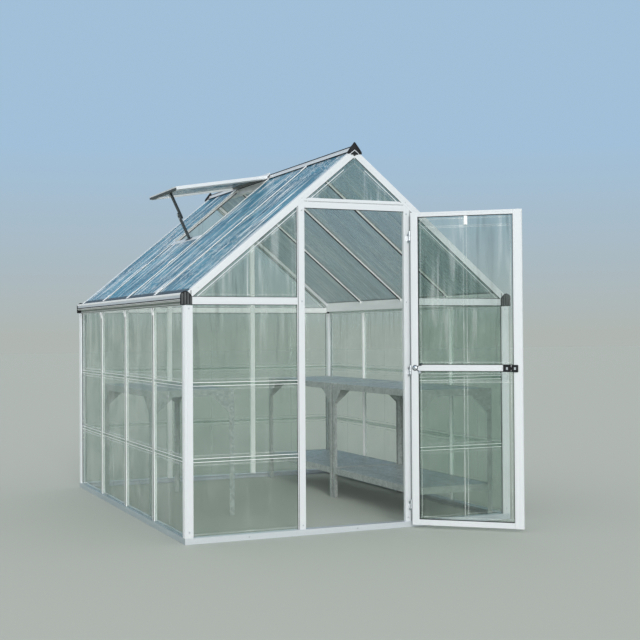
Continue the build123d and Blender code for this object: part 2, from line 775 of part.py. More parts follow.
def swung(shapes):
    """Shapes of the closed leaf, turned to where the door stands open."""
    return [solid.rotate(DOOR_AXIS, DOOR_OPEN_DEG) for solid in solids_of(shapes)]


def pane(z0, z1, extra):
    """A pane of the leaf between two heights, or its pocket with extra play."""
    lap = PANE_GROOVE
    x0, x1 = LEAF_LEFT + STILE_WIDTH - lap, LEAF_RIGHT - HINGE_STILE_WIDTH + lap
    half = WALL_PANEL / 2 + extra
    return block(x0, x1, LEAF_MIDDLE - half, LEAF_MIDDLE + half, z0 - lap, z1 + lap)


def door_frame():
    """Stiles and rails of the closed leaf, grooved for the panes, and the panes."""
    mid_top = MID_RAIL_BOTTOM + MID_RAIL_HEIGHT
    lower = (LEAF_BOTTOM + BOTTOM_RAIL_HEIGHT, MID_RAIL_BOTTOM)
    upper = (mid_top, LEAF_TOP - TOP_RAIL_HEIGHT)
    pockets = pane(*lower, PANE_PLAY) + pane(*upper, PANE_PLAY)
    x0, x1 = LEAF_LEFT + STILE_WIDTH, LEAF_RIGHT - HINGE_STILE_WIDTH
    stiles = [
        block(LEAF_LEFT, x0, LEAF_FRONT, DOOR_FACE, LEAF_BOTTOM, LEAF_TOP) - pockets,
        block(x1, LEAF_RIGHT, LEAF_FRONT, DOOR_FACE, LEAF_BOTTOM, LEAF_TOP) - pockets,
    ]
    rails = [
        block(x0, x1, LEAF_FRONT, DOOR_FACE, LEAF_BOTTOM, lower[0]) - pockets,
        block(x0, x1, LEAF_FRONT, DOOR_FACE, MID_RAIL_BOTTOM, mid_top) - pockets,
        block(x0, x1, LEAF_FRONT, DOOR_FACE, upper[1], LEAF_TOP) - pockets,
    ]
    return stiles, rails, pane(*lower, 0), pane(*upper, 0)


def door_handle():
    """A plate and a grip on each face of the free stile."""
    z0 = HANDLE_LEVEL - HANDLE_HEIGHT / 2
    z1 = HANDLE_LEVEL + HANDLE_HEIGHT / 2
    x1 = LEAF_LEFT + STILE_WIDTH
    x0 = x1 - HANDLE_PLATE
    found = []
    for face, out in ((LEAF_FRONT, -1), (DOOR_FACE, 1)):
        end = face + out * HANDLE_PLATE_THICK
        plate = block(x0, x1, face, end, z0, z1)
        grip = block(x0, x1 + HANDLE_GRIP, face + out * HANDLE_STANDOFF, end, z0, z1)
        found.append(plate + grip)
    return found


def leaf_hinge(level):
    """The leaf's half of a hinge, with the bored knuckle above the fixed one."""
    z0 = level + KNUCKLE_HEIGHT + KNUCKLE_GAP
    z1 = z0 + KNUCKLE_HEIGHT
    at = Plane((PIN_X, LEAF_MIDDLE, z0))
    knuckle = Solid.make_cylinder(KNUCKLE_RADIUS, KNUCKLE_HEIGHT, at)
    tab = block(LEAF_RIGHT, PIN_X, LEAF_MIDDLE - HINGE_WEB / 2, LEAF_MIDDLE + HINGE_WEB / 2, z0, z1)
    bore = Solid.make_cylinder(PIN_RADIUS + PIN_PLAY, KNUCKLE_HEIGHT, at)
    return knuckle + tab - bore


def post_hinge(level):
    """The post's half of a hinge, with the pin that the leaf turns on."""
    z1 = level + KNUCKLE_HEIGHT
    face = -HALF_LENGTH
    at = Plane((PIN_X, LEAF_MIDDLE, level))
    knuckle = Solid.make_cylinder(KNUCKLE_RADIUS, KNUCKLE_HEIGHT, at)
    pin = Solid.make_cylinder(PIN_RADIUS, 2 * KNUCKLE_HEIGHT + KNUCKLE_GAP, at)
    web = block(PIN_X - HINGE_WEB / 2, PIN_X + HINGE_WEB / 2, LEAF_MIDDLE, face, level, z1)
    plate = block(
        PIN_X - HINGE_WEB / 2,
        PIN_X - HINGE_WEB / 2 + HINGE_PLATE_WIDTH,
        face - HINGE_PLATE,
        face,
        level - HINGE_PLATE_MARGIN,
        z1 + HINGE_PLATE_MARGIN,
    )
    return knuckle + pin + web + plate


def make_door():
    """The door leaf, standing open, and the hinge halves on the post."""
    stiles, rails, lower, upper = door_frame()
    return {
        "door_stiles": swung(stiles),
        "door_rails": swung(rails),
        "door_lower_pane": swung([lower]),
        "door_upper_pane": swung([upper]),
        "door_handle": swung(door_handle()),
        "door_hinge_knuckles": swung([leaf_hinge(level) for level in HINGE_LEVELS]),
        "post_hinges": [post_hinge(level) for level in HINGE_LEVELS],
    }


# Plant stands

def angle_leg(x, y, x_in, y_in):
    """An angle leg whose corner is at x, y and whose flanges point inwards."""
    outline = angle_outline(STAND_LEG, STAND_LEG_WALL)
    return upright([(x + x_in * a, y + y_in * b) for a, b in outline], 0, STAND_TOP)


def tray(x0, x1, y0, y1, top):
    """A shelf folded down along its four edges."""
    wall = TRAY_WALL
    shell = block(x0, x1, y0, y1, top - TRAY_EDGE, top)
    low, high = sorted((x0, x1))
    hollow = block(low + wall, high - wall, y0 + wall, y1 - wall, top - TRAY_EDGE, top - wall)
    return shell - hollow


def make_stands():
    """Plant stands along the side walls, against their base rails."""
    nodes = {}
    left = [LEFT_STAND_SETBACK - HALF_LENGTH]
    right = [-STAND_LENGTH - STAND_GAP / 2, STAND_GAP / 2]
    rows = (("left", -1, left, [STAND_TOP]), ("right", 1, right, [STAND_TIER, STAND_TOP]))
    for name, side, starts, tiers in rows:
        wall = side * (HALF_WIDTH + BASE_PROUD - BASE_DEPTH)
        front = wall - side * STAND_DEPTH
        legs, shelves = [], []
        for start in starts:
            stop = start + STAND_LENGTH
            for x, x_in in ((wall, -side), (front, side)):
                legs.append(angle_leg(x, start, x_in, 1))
                legs.append(angle_leg(x, stop, x_in, -1))
            inset = STAND_LEG_WALL
            x0, x1 = wall - side * inset, front + side * inset
            for top in tiers:
                shelves.append(tray(x0, x1, start + inset, stop - inset, top))
        nodes[name + "_stand_legs"] = legs
        nodes[name + "_stand_shelves"] = shelves
    return nodes


def write(nodes):
    """Move each node's solids to the origin's frame and write them to one STEP file."""
    os.makedirs("parts", exist_ok=True)
    for name, shapes in nodes.items():
        solids = [solid.moved(Location((0, HALF_LENGTH, 0))) for solid in solids_of(shapes)]
        shape = solids[0] if len(solids) == 1 else Compound(solids)
        export_step(shape, "parts/" + name + ".step")


for make in (make_base, make_uprights, make_rails, make_eaves, make_roof_frame):
    write(make())
for make in (make_panels, make_vent, make_door, make_stands):
    write(make())
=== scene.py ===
"""Dresses the walk-in greenhouse: finishes for the CAD nodes, and the fine pieces that the CAD leaves out."""
import logging
import math
from collections.abc import Callable, Sequence
from dataclasses import dataclass, field
from enum import Enum

import bmesh
import bpy
from mathutils import Matrix, Vector


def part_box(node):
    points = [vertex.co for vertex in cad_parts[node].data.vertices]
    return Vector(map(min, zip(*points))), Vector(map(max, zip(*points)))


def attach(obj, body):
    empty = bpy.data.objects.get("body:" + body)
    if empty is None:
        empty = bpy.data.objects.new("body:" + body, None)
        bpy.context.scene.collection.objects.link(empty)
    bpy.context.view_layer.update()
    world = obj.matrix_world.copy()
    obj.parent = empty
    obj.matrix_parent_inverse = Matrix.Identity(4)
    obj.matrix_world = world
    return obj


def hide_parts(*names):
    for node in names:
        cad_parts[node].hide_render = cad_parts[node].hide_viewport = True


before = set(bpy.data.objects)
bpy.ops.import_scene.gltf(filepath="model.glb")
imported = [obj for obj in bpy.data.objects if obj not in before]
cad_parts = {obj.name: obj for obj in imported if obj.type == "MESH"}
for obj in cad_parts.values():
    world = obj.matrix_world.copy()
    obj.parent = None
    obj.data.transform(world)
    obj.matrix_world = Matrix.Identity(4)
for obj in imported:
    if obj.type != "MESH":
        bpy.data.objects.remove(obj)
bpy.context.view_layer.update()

LOG = logging.getLogger("greenhouse")
FRAME_BODY = "frame"
DOOR_BODY = "door"
DOOR_ANGLE = math.radians(138.5)
SMOOTH_ANGLE = math.radians(28)
RAFTER_DEPTH = 0.036
BEAD_SINK = 0.0002
BEAD_CROWN = 0.4
STAND_SPANS = {-1: ((0.800, 1.920),), 1: ((0.105, 1.225), (1.245, 2.365))}
STAND_WALL = 0.890
STAND_AISLE = 0.400

Point = tuple[float, float, float]
Colour = tuple[float, float, float]
Pair = tuple[float, float]
Outline = Sequence[Pair]
Tree = bpy.types.NodeTree
Socket = bpy.types.NodeSocket
Material = bpy.types.Material
ORIGIN: Point = (0.0, 0.0, 0.0)
ACROSS: Point = (1.0, 0.0, 0.0)
BACK: Point = (0.0, 1.0, 0.0)
FORWARD: Point = (0.0, -1.0, 0.0)
UP: Point = (0.0, 0.0, 1.0)


class Grain(Enum):
    """The direction in which a member was extruded, in the frame's axes."""

    ACROSS = "x"
    LENGTHWISE = "y"
    UPRIGHT = "z"
    SLOPE = "slope"
    LEAF = "leaf"


# Node trees

def add_node(tree: Tree, kind: str, settings: dict | None = None, **inputs: object) -> bpy.types.Node:
    """Add a node and fill its inputs.

    Args:
        tree: The node tree that gets the node.
        kind: Blender's name for the node's type.
        settings: Properties of the node itself.
        **inputs: A value or an output socket for each input, by its name with _ for a space, or as in0, in1.

    Returns:
        The new node.
    """
    node = tree.nodes.new(kind)
    for key, value in (settings or {}).items():
        setattr(node, key, value)
    for key, value in inputs.items():
        numbered = key.startswith("in") and key[2:].isdigit()
        socket = node.inputs[int(key[2:])] if numbered else node.inputs[key.replace("_", " ")]
        if isinstance(value, Socket):
            tree.links.new(value, socket)
        else:
            socket.default_value = value
    return node


def calculate(tree: Tree, operation: str, first: object, second: object = 0.0) -> Socket:
    """Add a Math node.

    Args:
        tree: The node tree.
        operation: The node's operation, such as MULTIPLY.
        first: The first number or socket.
        second: The second number or socket.

    Returns:
        The node's output.
    """
    return add_node(tree, "ShaderNodeMath", {"operation": operation}, in0=first, in1=second).outputs[0]


def remap(tree: Tree, value: object, low: float, high: float, new_low: float, new_high: float) -> Socket:
    """Add a Map Range node, clamped to its new range.

    Args:
        tree: The node tree.
        value: The socket to read.
        low: Start of the old range.
        high: End of the old range.
        new_low: Start of the new range.
        new_high: End of the new range.

    Returns:
        The node's output.
    """
    return add_node(
        tree, "ShaderNodeMapRange", Value=value, From_Min=low, From_Max=high, To_Min=new_low,
        To_Max=new_high).outputs[0]


def blend_colours(tree: Tree, factor: object, first: object, second: object) -> Socket:
    """Add a colour Mix node.

    Args:
        tree: The node tree.
        factor: The share of the second colour.
        first: The first colour or socket.
        second: The second colour or socket.

    Returns:
        The node's colour output.
    """
    node = tree.nodes.new("ShaderNodeMix")
    node.data_type = "RGBA"
    for index, value in ((0, factor), (6, first), (7, second)):
        if isinstance(value, Socket):
            tree.links.new(value, node.inputs[index])
        else:
            node.inputs[index].default_value = value if index == 0 else (*value, 1.0)
    return node.outputs[2]


def object_place(tree: Tree) -> Socket:
    """The point's place in the piece's own coordinates."""
    return add_node(tree, "ShaderNodeTexCoord").outputs["Object"]


def object_axes(tree: Tree) -> list[Socket]:
    """The point's X, Y and Z in the piece's own coordinates."""
    return list(add_node(tree, "ShaderNodeSeparateXYZ", Vector=object_place(tree)).outputs)


def noise(tree: Tree, place: Socket, scale: float, detail: float, roughness: float = 0.5,
          distortion: float = 0.0) -> Socket:
    """Add a Noise Texture node.

    Args:
        tree: The node tree.
        place: The coordinates that it reads.
        scale: How fine it is.
        detail: How many finer layers it has.
        roughness: How strong they are.
        distortion: How much it is bent.

    Returns:
        The node's value output.
    """
    return add_node(
        tree, "ShaderNodeTexNoise", Vector=place, Scale=scale, Detail=detail, Roughness=roughness,
        Distortion=distortion).outputs[0]


def angles(count: int) -> list[float]:
    """Evenly spaced angles round a full turn."""
    return [math.tau * step / count for step in range(count)]


def new_material(name: str) -> tuple[Material, Tree]:
    """Make a material with an empty node tree.

    Args:
        name: The material's name.

    Returns:
        The material and its tree.
    """
    material = bpy.data.materials.new(name)
    material.use_nodes = True
    material.node_tree.nodes.clear()
    return material, material.node_tree


def surface(tree: Tree, shader: bpy.types.Node) -> None:
    """Join a shader to the tree's output."""
    add_node(tree, "ShaderNodeOutputMaterial", Surface=shader.outputs[0])


def opaque(tree: Tree, tone: Socket, rough: Socket, metallic: float, height: Socket, bump: Pair,
           shine: float = 0.5) -> None:
    """Join a bumped surface, which lets no light through, to the tree's output.

    Args:
        tree: The node tree.
        tone: Its colour.
        rough: Its roughness.
        metallic: How metallic it is.
        height: The height of its bumps.
        bump: Their strength and depth.
        shine: How strongly it shines where it isn't metal.
    """
    normal = add_node(tree, "ShaderNodeBump", Strength=bump[0], Distance=bump[1], Height=height).outputs[0]
    surface(tree, add_node(tree, "ShaderNodeBsdfPrincipled", Base_Color=tone, Metallic=metallic,
                           Roughness=rough, Specular_IOR_Level=shine, Normal=normal))


@dataclass(frozen=True)
class Slope:
    """The roof's slope, for patterns that run down it."""

    angle: float
    ridge_z: float

    def coordinates(self, tree: Tree) -> Socket:
        """Object coordinates turned so that Z runs up the slope, alike on both sides of the roof.

        Args:
            tree: The node tree.

        Returns:
            A vector output.
        """
        x, y, z = object_axes(tree)
        folded = add_node(tree, "ShaderNodeCombineXYZ", X=calculate(tree, "ABSOLUTE", x), Y=y, Z=z)
        turn = (0.0, math.pi / 2 - self.angle, 0.0)
        return add_node(tree, "ShaderNodeMapping", Vector=folded.outputs[0], Rotation=turn).outputs[0]

    def upper_side(self, tree: Tree, depth: float) -> Socket:
        """Tell the roof sheets' upper faces from their lower ones.

        Args:
            tree: The node tree.
            depth: A depth below the roof line between the two faces.

        Returns:
            A value output: 1 above that depth and 0 below it.
        """
        x, _, z = object_axes(tree)
        out = calculate(tree, "MULTIPLY", calculate(tree, "ABSOLUTE", x), math.tan(self.angle))
        line = calculate(tree, "ADD", out, z)
        return calculate(tree, "GREATER_THAN", line, self.ridge_z - depth / math.cos(self.angle))


@dataclass(frozen=True)
class Facing:
    """How much more a clear sheet shines where it is seen edge-on, alike from both of its sides."""

    head_on: float = 0.04
    fall: float = 5.0

    def share(self, tree: Tree, normal: Socket, gloss: float) -> Socket:
        """The share of light that the surface sends back.

        Args:
            tree: The node tree.
            normal: The surface's bumped normal.
            gloss: How strongly it shines edge-on.

        Returns:
            A value output.
        """
        edge = add_node(tree, "ShaderNodeLayerWeight", Blend=0.5, Normal=normal).outputs["Facing"]
        rise = calculate(tree, "MULTIPLY", calculate(tree, "POWER", edge, self.fall), gloss)
        return calculate(tree, "ADD", rise, self.head_on)


def stretched(tree: Tree, grain: Grain, slope: Slope, along: float, across: float) -> Socket:
    """Object coordinates scaled so that a texture forms lines along the grain.

    Args:
        tree: The node tree.
        grain: The direction of the lines.
        slope: The roof's slope.
        along: Scale along the grain.
        across: Scale across it.

    Returns:
        A vector output.
    """
    if grain is Grain.SLOPE:
        place = slope.coordinates(tree)
        scale = (across, across, along)
    else:
        place = object_place(tree)
        if grain is Grain.LEAF:
            place = add_node(
                tree, "ShaderNodeMapping", Vector=place, Rotation=(0.0, 0.0, -DOOR_ANGLE)).outputs[0]
        line = "x" if grain is Grain.LEAF else grain.value
        scale = tuple(along if axis == line else across for axis in "xyz")
    return add_node(tree, "ShaderNodeMapping", Vector=place, Scale=scale).outputs[0]


# Finishes

@dataclass(frozen=True)
class Aluminium:
    """Mill aluminium gone pale and satin outdoors, with faint die lines along each member; its paler copy is
    painted light.
    """

    name: str
    colour: Colour = (0.80, 0.82, 0.835)
    shade: Colour = (0.66, 0.69, 0.71)
    roughness: float = 0.42
    metallic: float = 0.30

    def material(self, grain: Grain, slope: Slope) -> Material:
        """The finish for members that run one way.

        Args:
            grain: The direction of the die lines.
            slope: The roof's slope.

        Returns:
            The material.
        """
        material, tree = new_material(f"{self.name}_{grain.name.lower()}")
        lines = noise(tree, stretched(tree, grain, slope, 0.8, 260.0), 1.0, 3.0, 0.6)
        cloud = noise(tree, object_place(tree), 4.0, 6.0, 0.62)
        drips = noise(tree, stretched(tree, grain, slope, 3.0, 34.0), 1.0, 4.0, 0.7)
        dull = calculate(
            tree, "ADD", remap(tree, cloud, 0.48, 0.75, 0.0, 0.30), remap(tree, drips, 0.56, 0.74, 0.0, 0.22))
        worn = calculate(tree, "ADD", dull, remap(tree, lines, 0.35, 0.65, -0.08, 0.12))
        tone = blend_colours(tree, worn, self.colour, self.shade)
        rough = remap(tree, worn, 0.0, 0.6, self.roughness - 0.05, self.roughness + 0.16)
        opaque(tree, tone, rough, self.metallic, lines, (0.10, 0.0005))
        return material


@dataclass(frozen=True)
class ZincSheet:
    """Rolled zinc-coated strip: a smooth bluish silver with long soft bands and small dull specks."""

    name: str
    colour: Colour = (0.76, 0.79, 0.82)
    shade: Colour = (0.58, 0.62, 0.66)
    roughness: float = 0.33
    metallic: float = 0.55

    def material(self, grain: Grain, slope: Slope) -> Material:
        """The finish for strips that run one way.

        Args:
            grain: The rolling direction.
            slope: The roof's slope.

        Returns:
            The material.
        """
        material, tree = new_material(f"{self.name}_{grain.name.lower()}")
        bands = noise(tree, stretched(tree, grain, slope, 1.1, 22.0), 1.0, 4.0, 0.6, 0.3)
        specks = noise(tree, object_place(tree), 160.0, 3.0, 0.7)
        dull = calculate(tree, "ADD", remap(tree, bands, 0.40, 0.66, 0.0, 0.55),
                         remap(tree, specks, 0.56, 0.74, 0.0, 0.35))
        tone = blend_colours(tree, dull, self.colour, self.shade)
        rough = remap(tree, dull, 0.0, 0.9, self.roughness, self.roughness + 0.18)
        opaque(tree, tone, rough, self.metallic, bands, (0.10, 0.001))
        return material


@dataclass(frozen=True)
class Galvanised:
    """Hot-dipped zinc: grey crystals with dull patches."""

    name: str = "galvanised"
    colour: Colour = (0.50, 0.535, 0.52)
    shade: Colour = (0.27, 0.30, 0.29)
    crystal: float = 110.0
    metallic: float = 0.25

    def material(self) -> Material:
        """The finish.

        Returns:
            The material.
        """
        material, tree = new_material(self.name)
        place = object_place(tree)
        cells = add_node(tree, "ShaderNodeTexVoronoi", Vector=place, Scale=self.crystal, Randomness=1.0)
        cloud = noise(tree, place, 24.0, 5.0, 0.65)
        facet = add_node(tree, "ShaderNodeSeparateColor", Color=cells.outputs["Color"]).outputs[0]
        dull = calculate(
            tree, "ADD", calculate(tree, "MULTIPLY", facet, 0.55), remap(tree, cloud, 0.4, 0.7, 0.0, 0.38))
        tone = blend_colours(tree, dull, self.colour, self.shade)
        rough = remap(tree, dull, 0.0, 1.0, 0.32, 0.62)
        opaque(tree, tone, rough, self.metallic, facet, (0.08, 0.0005))
        return material


@dataclass(frozen=True)
class ClearSheet:
    """Clear polycarbonate: what is behind shows through a faint tint, with gloss and a haze; its wavy lines
    and patches are painted highlight and painted reflection.
    """

    name: str
    tint: Colour
    # Coat colours: body holds painted reflection colours (on the roof a painted deep blue sky),
    # painted_highlight the colour of the painted highlight lines, under the plainer coat of the roof sheets'
    # lower faces.
    body: tuple[Colour, Colour]
    painted_highlight: Colour
    haze: Pair
    gloss: float
    wave: float
    roughness: float = 0.08
    under: Colour | None = None
    patch_scale: float = 3.2
    fine_scale: float = 46.0
    metal: float = 0.5
    shine: float = 0.5
    ripple: float = 0.88
    twist: float = 0.9
    edges: tuple[float, float, float, float] = (0.50, 0.66, 0.42, 0.60)
    rise: Pair | None = None
    crumple: float = 0.0

    def coat_of(self, tree: Tree, highlight_streaks: Socket, slope: Slope) -> Socket:
        """The colour of what the sheet sends back, painted reflection: drifting patches, pale painted
        highlight lines and, on the roof, a plainer lower side under the painted sky.

        Args:
            tree: The node tree.
            highlight_streaks: The strength of the painted highlight lines.
            slope: The roof's slope.

        Returns:
            A colour output.
        """
        patches = noise(tree, object_place(tree), self.patch_scale, 4.0, 0.55, 1.2)
        shade = blend_colours(tree, remap(tree, patches, 0.42, 0.58, 0.0, 1.0), *self.body)
        shade = blend_colours(tree, highlight_streaks, shade, self.painted_highlight)
        # On the roof the upper faces get the painted sky colours, the lower faces the plainer under colour.
        if self.under is None:
            return shade
        return blend_colours(tree, slope.upper_side(tree, 0.005), self.under, shade)

    def ripples(self, tree: Tree, grain: Grain, slope: Slope) -> Socket:
        """Thin bent lines of painted highlight, in drifting zones.

        Args:
            tree: The node tree.
            grain: The direction of the waves.
            slope: The roof's slope.

        Returns:
            Their strength.
        """
        bent = noise(tree, stretched(tree, grain, slope, 11.0, 9.0), 1.0, 3.0, 0.55, 1.8)
        zone = noise(tree, stretched(tree, grain, slope, 2.0, 1.3), 1.0, 1.0)
        offset = calculate(tree, "ABSOLUTE", calculate(tree, "SUBTRACT", bent, 0.5))
        line = remap(tree, offset, 0.010, 0.030, self.crumple, 0.0)
        return calculate(tree, "MULTIPLY", line, remap(tree, zone, 0.44, 0.56, 0.0, 1.0))

    def material(self, grain: Grain, slope: Slope) -> Material:
        """The finish for sheets whose waves run one way.

        Args:
            grain: The direction of the waves.
            slope: The roof's slope.

        Returns:
            The material.
        """
        material, tree = new_material(f"{self.name}_{grain.name.lower()}")
        waves = noise(tree, stretched(tree, grain, slope, 1.6, 15.0), 1.0, 2.5, 0.5, self.twist)
        fine = noise(tree, stretched(tree, grain, slope, 2.2, self.fine_scale), 1.0, 2.0, 0.5, 0.5)
        height = calculate(tree, "ADD", waves, calculate(tree, "MULTIPLY", fine, 0.14))
        bump = add_node(tree, "ShaderNodeBump", Strength=self.wave, Distance=0.01, Height=height)
        low, high, fine_low, fine_high = self.edges
        highlight_streaks = calculate(
            tree, "MULTIPLY", remap(tree, waves, low, high, 0.0, 1.0),
            remap(tree, fine, fine_low, fine_high, 0.0, 1.0))
        if self.crumple:
            highlight_streaks = calculate(tree, "MAXIMUM", highlight_streaks, self.ripples(tree, grain, slope))
        # On the wall sheets the painted highlight lines, and the darker wave lines of the tint, are stronger
        # towards the top.
        if self.rise is not None:
            level = object_axes(tree)[2]
            highlight_streaks = calculate(tree, "MULTIPLY", highlight_streaks, remap(tree, level, *self.rise, 0.2, 1.0))
        share = calculate(
            tree, "ADD", remap(tree, highlight_streaks, 0.0, 1.0, self.haze[0], self.haze[1]),
            Facing().share(tree, bump.outputs[0], self.gloss))
        share = calculate(tree, "MINIMUM", share, 0.94)
        shadow = add_node(tree, "ShaderNodeLightPath").outputs["Is Shadow Ray"]
        share = calculate(tree, "MULTIPLY", share, remap(tree, shadow, 0.0, 1.0, 1.0, 0.1))
        dark = calculate(tree, "MULTIPLY", remap(tree, waves, 0.34, 0.46, 1.0, 0.0),
                         remap(tree, fine, 0.40, 0.58, 1.0, 0.0))
        if self.rise is not None:
            dark = calculate(tree, "MULTIPLY", dark, remap(tree, level, *self.rise, 0.15, 1.0))
        tint = blend_colours(tree, dark, self.tint, tuple(tone * self.ripple for tone in self.tint))
        tint = blend_colours(tree, calculate(tree, "MULTIPLY", shadow, 0.85), tint, (1.0, 1.0, 1.0))
        through = add_node(tree, "ShaderNodeBsdfTransparent", Color=tint)
        coat = add_node(
            tree, "ShaderNodeBsdfPrincipled", Base_Color=self.coat_of(tree, highlight_streaks, slope),
            Metallic=self.metal, Roughness=self.roughness, Specular_IOR_Level=self.shine,
            Normal=bump.outputs[0])
        mixed = add_node(tree, "ShaderNodeMixShader", in0=share, in1=through.outputs[0], in2=coat.outputs[0])
        surface(tree, mixed)
        return material


@dataclass(frozen=True)
class Moulded:
    """Moulded plastic or painted metal: one colour with a fine texture and a worn sheen."""

    name: str
    colour: Colour
    wear: Colour
    roughness: float
    metallic: float = 0.0
    texture: float = 420.0
    shine: float = 0.5

    def material(self) -> Material:
        """The finish.

        Returns:
            The material.
        """
        material, tree = new_material(self.name)
        place = object_place(tree)
        fine = noise(tree, place, self.texture, 3.0)
        cloud = noise(tree, place, 18.0, 5.0, 0.65)
        worn = remap(tree, cloud, 0.5, 0.78, 0.0, 0.6)
        tone = blend_colours(tree, worn, self.colour, self.wear)
        rough = remap(tree, worn, 0.0, 0.6, self.roughness, self.roughness + 0.15)
        opaque(tree, tone, rough, self.metallic, fine, (0.15, 0.0004), self.shine)
        return material


@dataclass
class Finishes:
    """Every finish of the greenhouse, each material made once."""

    slope: Slope
    frame_metal: Aluminium = Aluminium("satin_aluminium")
    # Painted light: a paler copy of the frame aluminium, for members that should read as sunlit.
    painted_light_metal: Aluminium = Aluminium(
        "painted_light_aluminium", (0.97, 0.98, 0.985), (0.88, 0.90, 0.91), 0.40, 0.10)
    strip: ZincSheet = ZincSheet("rolled_zinc")
    # Painted shade: a darker copy of the rolled zinc for the long side rails, with a slightly rougher finish.
    painted_shade_strip: ZincSheet = ZincSheet("painted_shade_rolled_zinc", (0.56, 0.62, 0.64), (0.36, 0.43, 0.45), 0.4)
    steel: Galvanised = Galvanised()
    # The wall sheets' coats are painted reflection: green-grey patches and white painted highlight lines; the
    # pressed lines get whiter painted highlight.
    wall_sheet: ClearSheet = ClearSheet(
        "clear_wall_sheet", (0.875, 0.91, 0.89), ((0.42, 0.52, 0.50), (0.74, 0.80, 0.79)), (0.98, 1.0, 1.0),
        (0.0, 0.13), 0.7, 0.20, ripple=0.86, edges=(0.50, 0.60, 0.46, 0.58), rise=(0.75, 1.16))
    ridged: ClearSheet = ClearSheet(
        "pressed_ridge", (0.985, 0.99, 0.99), ((0.86, 0.90, 0.90), (0.94, 0.96, 0.96)), (1.0, 1.0, 1.0),
        (0.08, 0.26), 0.8, 0.1, ripple=0.97, metal=0.2)
    # The roof's coat is a painted deep blue sky reflection with white painted highlights, and pale grey on
    # the lower faces; its pressed lines are bluer and whiter.
    roof_sheet: ClearSheet = ClearSheet(
        "clear_roof_sheet", (0.86, 0.89, 0.87), ((0.010, 0.125, 0.23), (0.075, 0.27, 0.40)),
        (1.0, 1.0, 1.0), (0.06, 0.25), 1.6, 0.22, 0.16, (0.60, 0.66, 0.64), 3.4, 62.0, 0.0, 0.02, twist=1.6,
        edges=(0.54, 0.59, 0.48, 0.55), crumple=0.6)
    roof_ridged: ClearSheet = ClearSheet(
        "pressed_roof_ridge", (0.90, 0.94, 0.94), ((0.02, 0.17, 0.30), (0.36, 0.58, 0.72)), (1.0, 1.0, 1.0),
        (0.12, 0.40), 0.9, 0.1, 0.16, (0.70, 0.76, 0.75), 5.0, 62.0, 0.0, 0.05)
    # Painted highlight: the caps' ribs are a lighter black than the caps, with random wear.
    highlight_ribbing: Moulded = Moulded("worn_black_ribs", (0.075, 0.08, 0.08), (0.15, 0.155, 0.155), 0.35, shine=0.5)
    black: Moulded = Moulded("black_moulding", (0.016, 0.017, 0.019), (0.045, 0.047, 0.05), 0.5, shine=0.15)
    # Black seals; also painted shade where black strips stand in for shade.
    gaskets_and_shade: Moulded = Moulded("black_gasket", (0.022, 0.023, 0.024), (0.05, 0.052, 0.054), 0.75, shine=0.15)
    # Painted shade: a dark grey-green that stands in for shade in channels and under lips.
    groove: Moulded = Moulded("shaded_channel", (0.20, 0.235, 0.21), (0.29, 0.32, 0.29), 0.55, 0.2)
    # Dark grey paint of the arm and the catch; also painted shade in the gutter's closing strips and on the
    # window's free edge.
    dark_metal: Moulded = Moulded("dark_grey_metal", (0.035, 0.045, 0.05), (0.09, 0.10, 0.11), 0.4, 0.4)
    # Painted shade: a dark olive grey for the window's end rails, where shade falls under the open window.
    shaded_edge: Moulded = Moulded("weathered_edge_metal", (0.085, 0.095, 0.085), (0.16, 0.165, 0.14), 0.45, 0.4)
    zinc: Moulded = Moulded("plated_screw", (0.62, 0.64, 0.66), (0.45, 0.46, 0.47), 0.32, 0.9)
    made: dict[str, Material] = field(default_factory=dict)

    def keep(self, key: str, make: Callable[[], Material]) -> Material:
        """Make a material the first time it is asked for.

        Args:
            key: The name under which it is kept.
            make: A function that makes it.

        Returns:
            The material.
        """
        if key not in self.made:
            self.made[key] = make()
        return self.made[key]

    def aluminium(self, grain: Grain) -> Material:
        """Frame aluminium with die lines one way."""
        return self.keep(f"aluminium {grain.value}", lambda: self.frame_metal.material(grain, self.slope))

    def bright(self, grain: Grain) -> Material:
        """A paler copy of the frame aluminium, with die lines along a grain: painted light that makes the
        thin members, the gutters and the members seen through the sheets read as sunlit.
        """
        return self.keep(f"bright {grain.value}", lambda: self.painted_light_metal.material(grain, self.slope))

    def zinc_sheet(self, grain: Grain) -> Material:
        """Rolled zinc strip whose bands run one way."""
        return self.keep(f"strip {grain.value}", lambda: self.strip.material(grain, self.slope))

    def painted_shade_sheet(self) -> Material:
        """A darker, slightly rougher copy of the rolled zinc for the long base rails: the darker colour is
        painted shade.
        """
        return self.keep("dull strip", lambda: self.painted_shade_strip.material(Grain.LENGTHWISE, self.slope))

    def wall(self) -> Material:
        """Clear sheet of walls and door."""
        return self.keep("wall", lambda: self.wall_sheet.material(Grain.UPRIGHT, self.slope))

    def roof(self) -> Material:
        """Clear fluted sheet of the roof."""
        return self.keep("roof", lambda: self.roof_sheet.material(Grain.SLOPE, self.slope))

    def pressed(self, grain: Grain) -> Material:
        """The clear sheet where a line is pressed into it, with a whiter, hazier coat: a painted highlight
        along the line, on the roof with the painted sky.
        """
        sheet = self.roof_ridged if grain is Grain.SLOPE else self.ridged
        return self.keep(f"pressed {grain.value}", lambda: sheet.material(grain, self.slope))

    def plain(self, finish: Moulded | Galvanised) -> Material:
        """A finish that has no direction."""
        return self.keep(finish.name, finish.material)

    def black_strip(self) -> Material:
        """The black of the glazing seals, also used as painted shade at the bars' feet and in the gutter's
        groove.
        """
        return self.plain(self.gaskets_and_shade)

    def channel(self) -> Material:
        """Painted shade: a dark grey-green for the studs' channels, the bars' front sides and the gutter's
        lower strips.
        """
        return self.plain(self.groove)


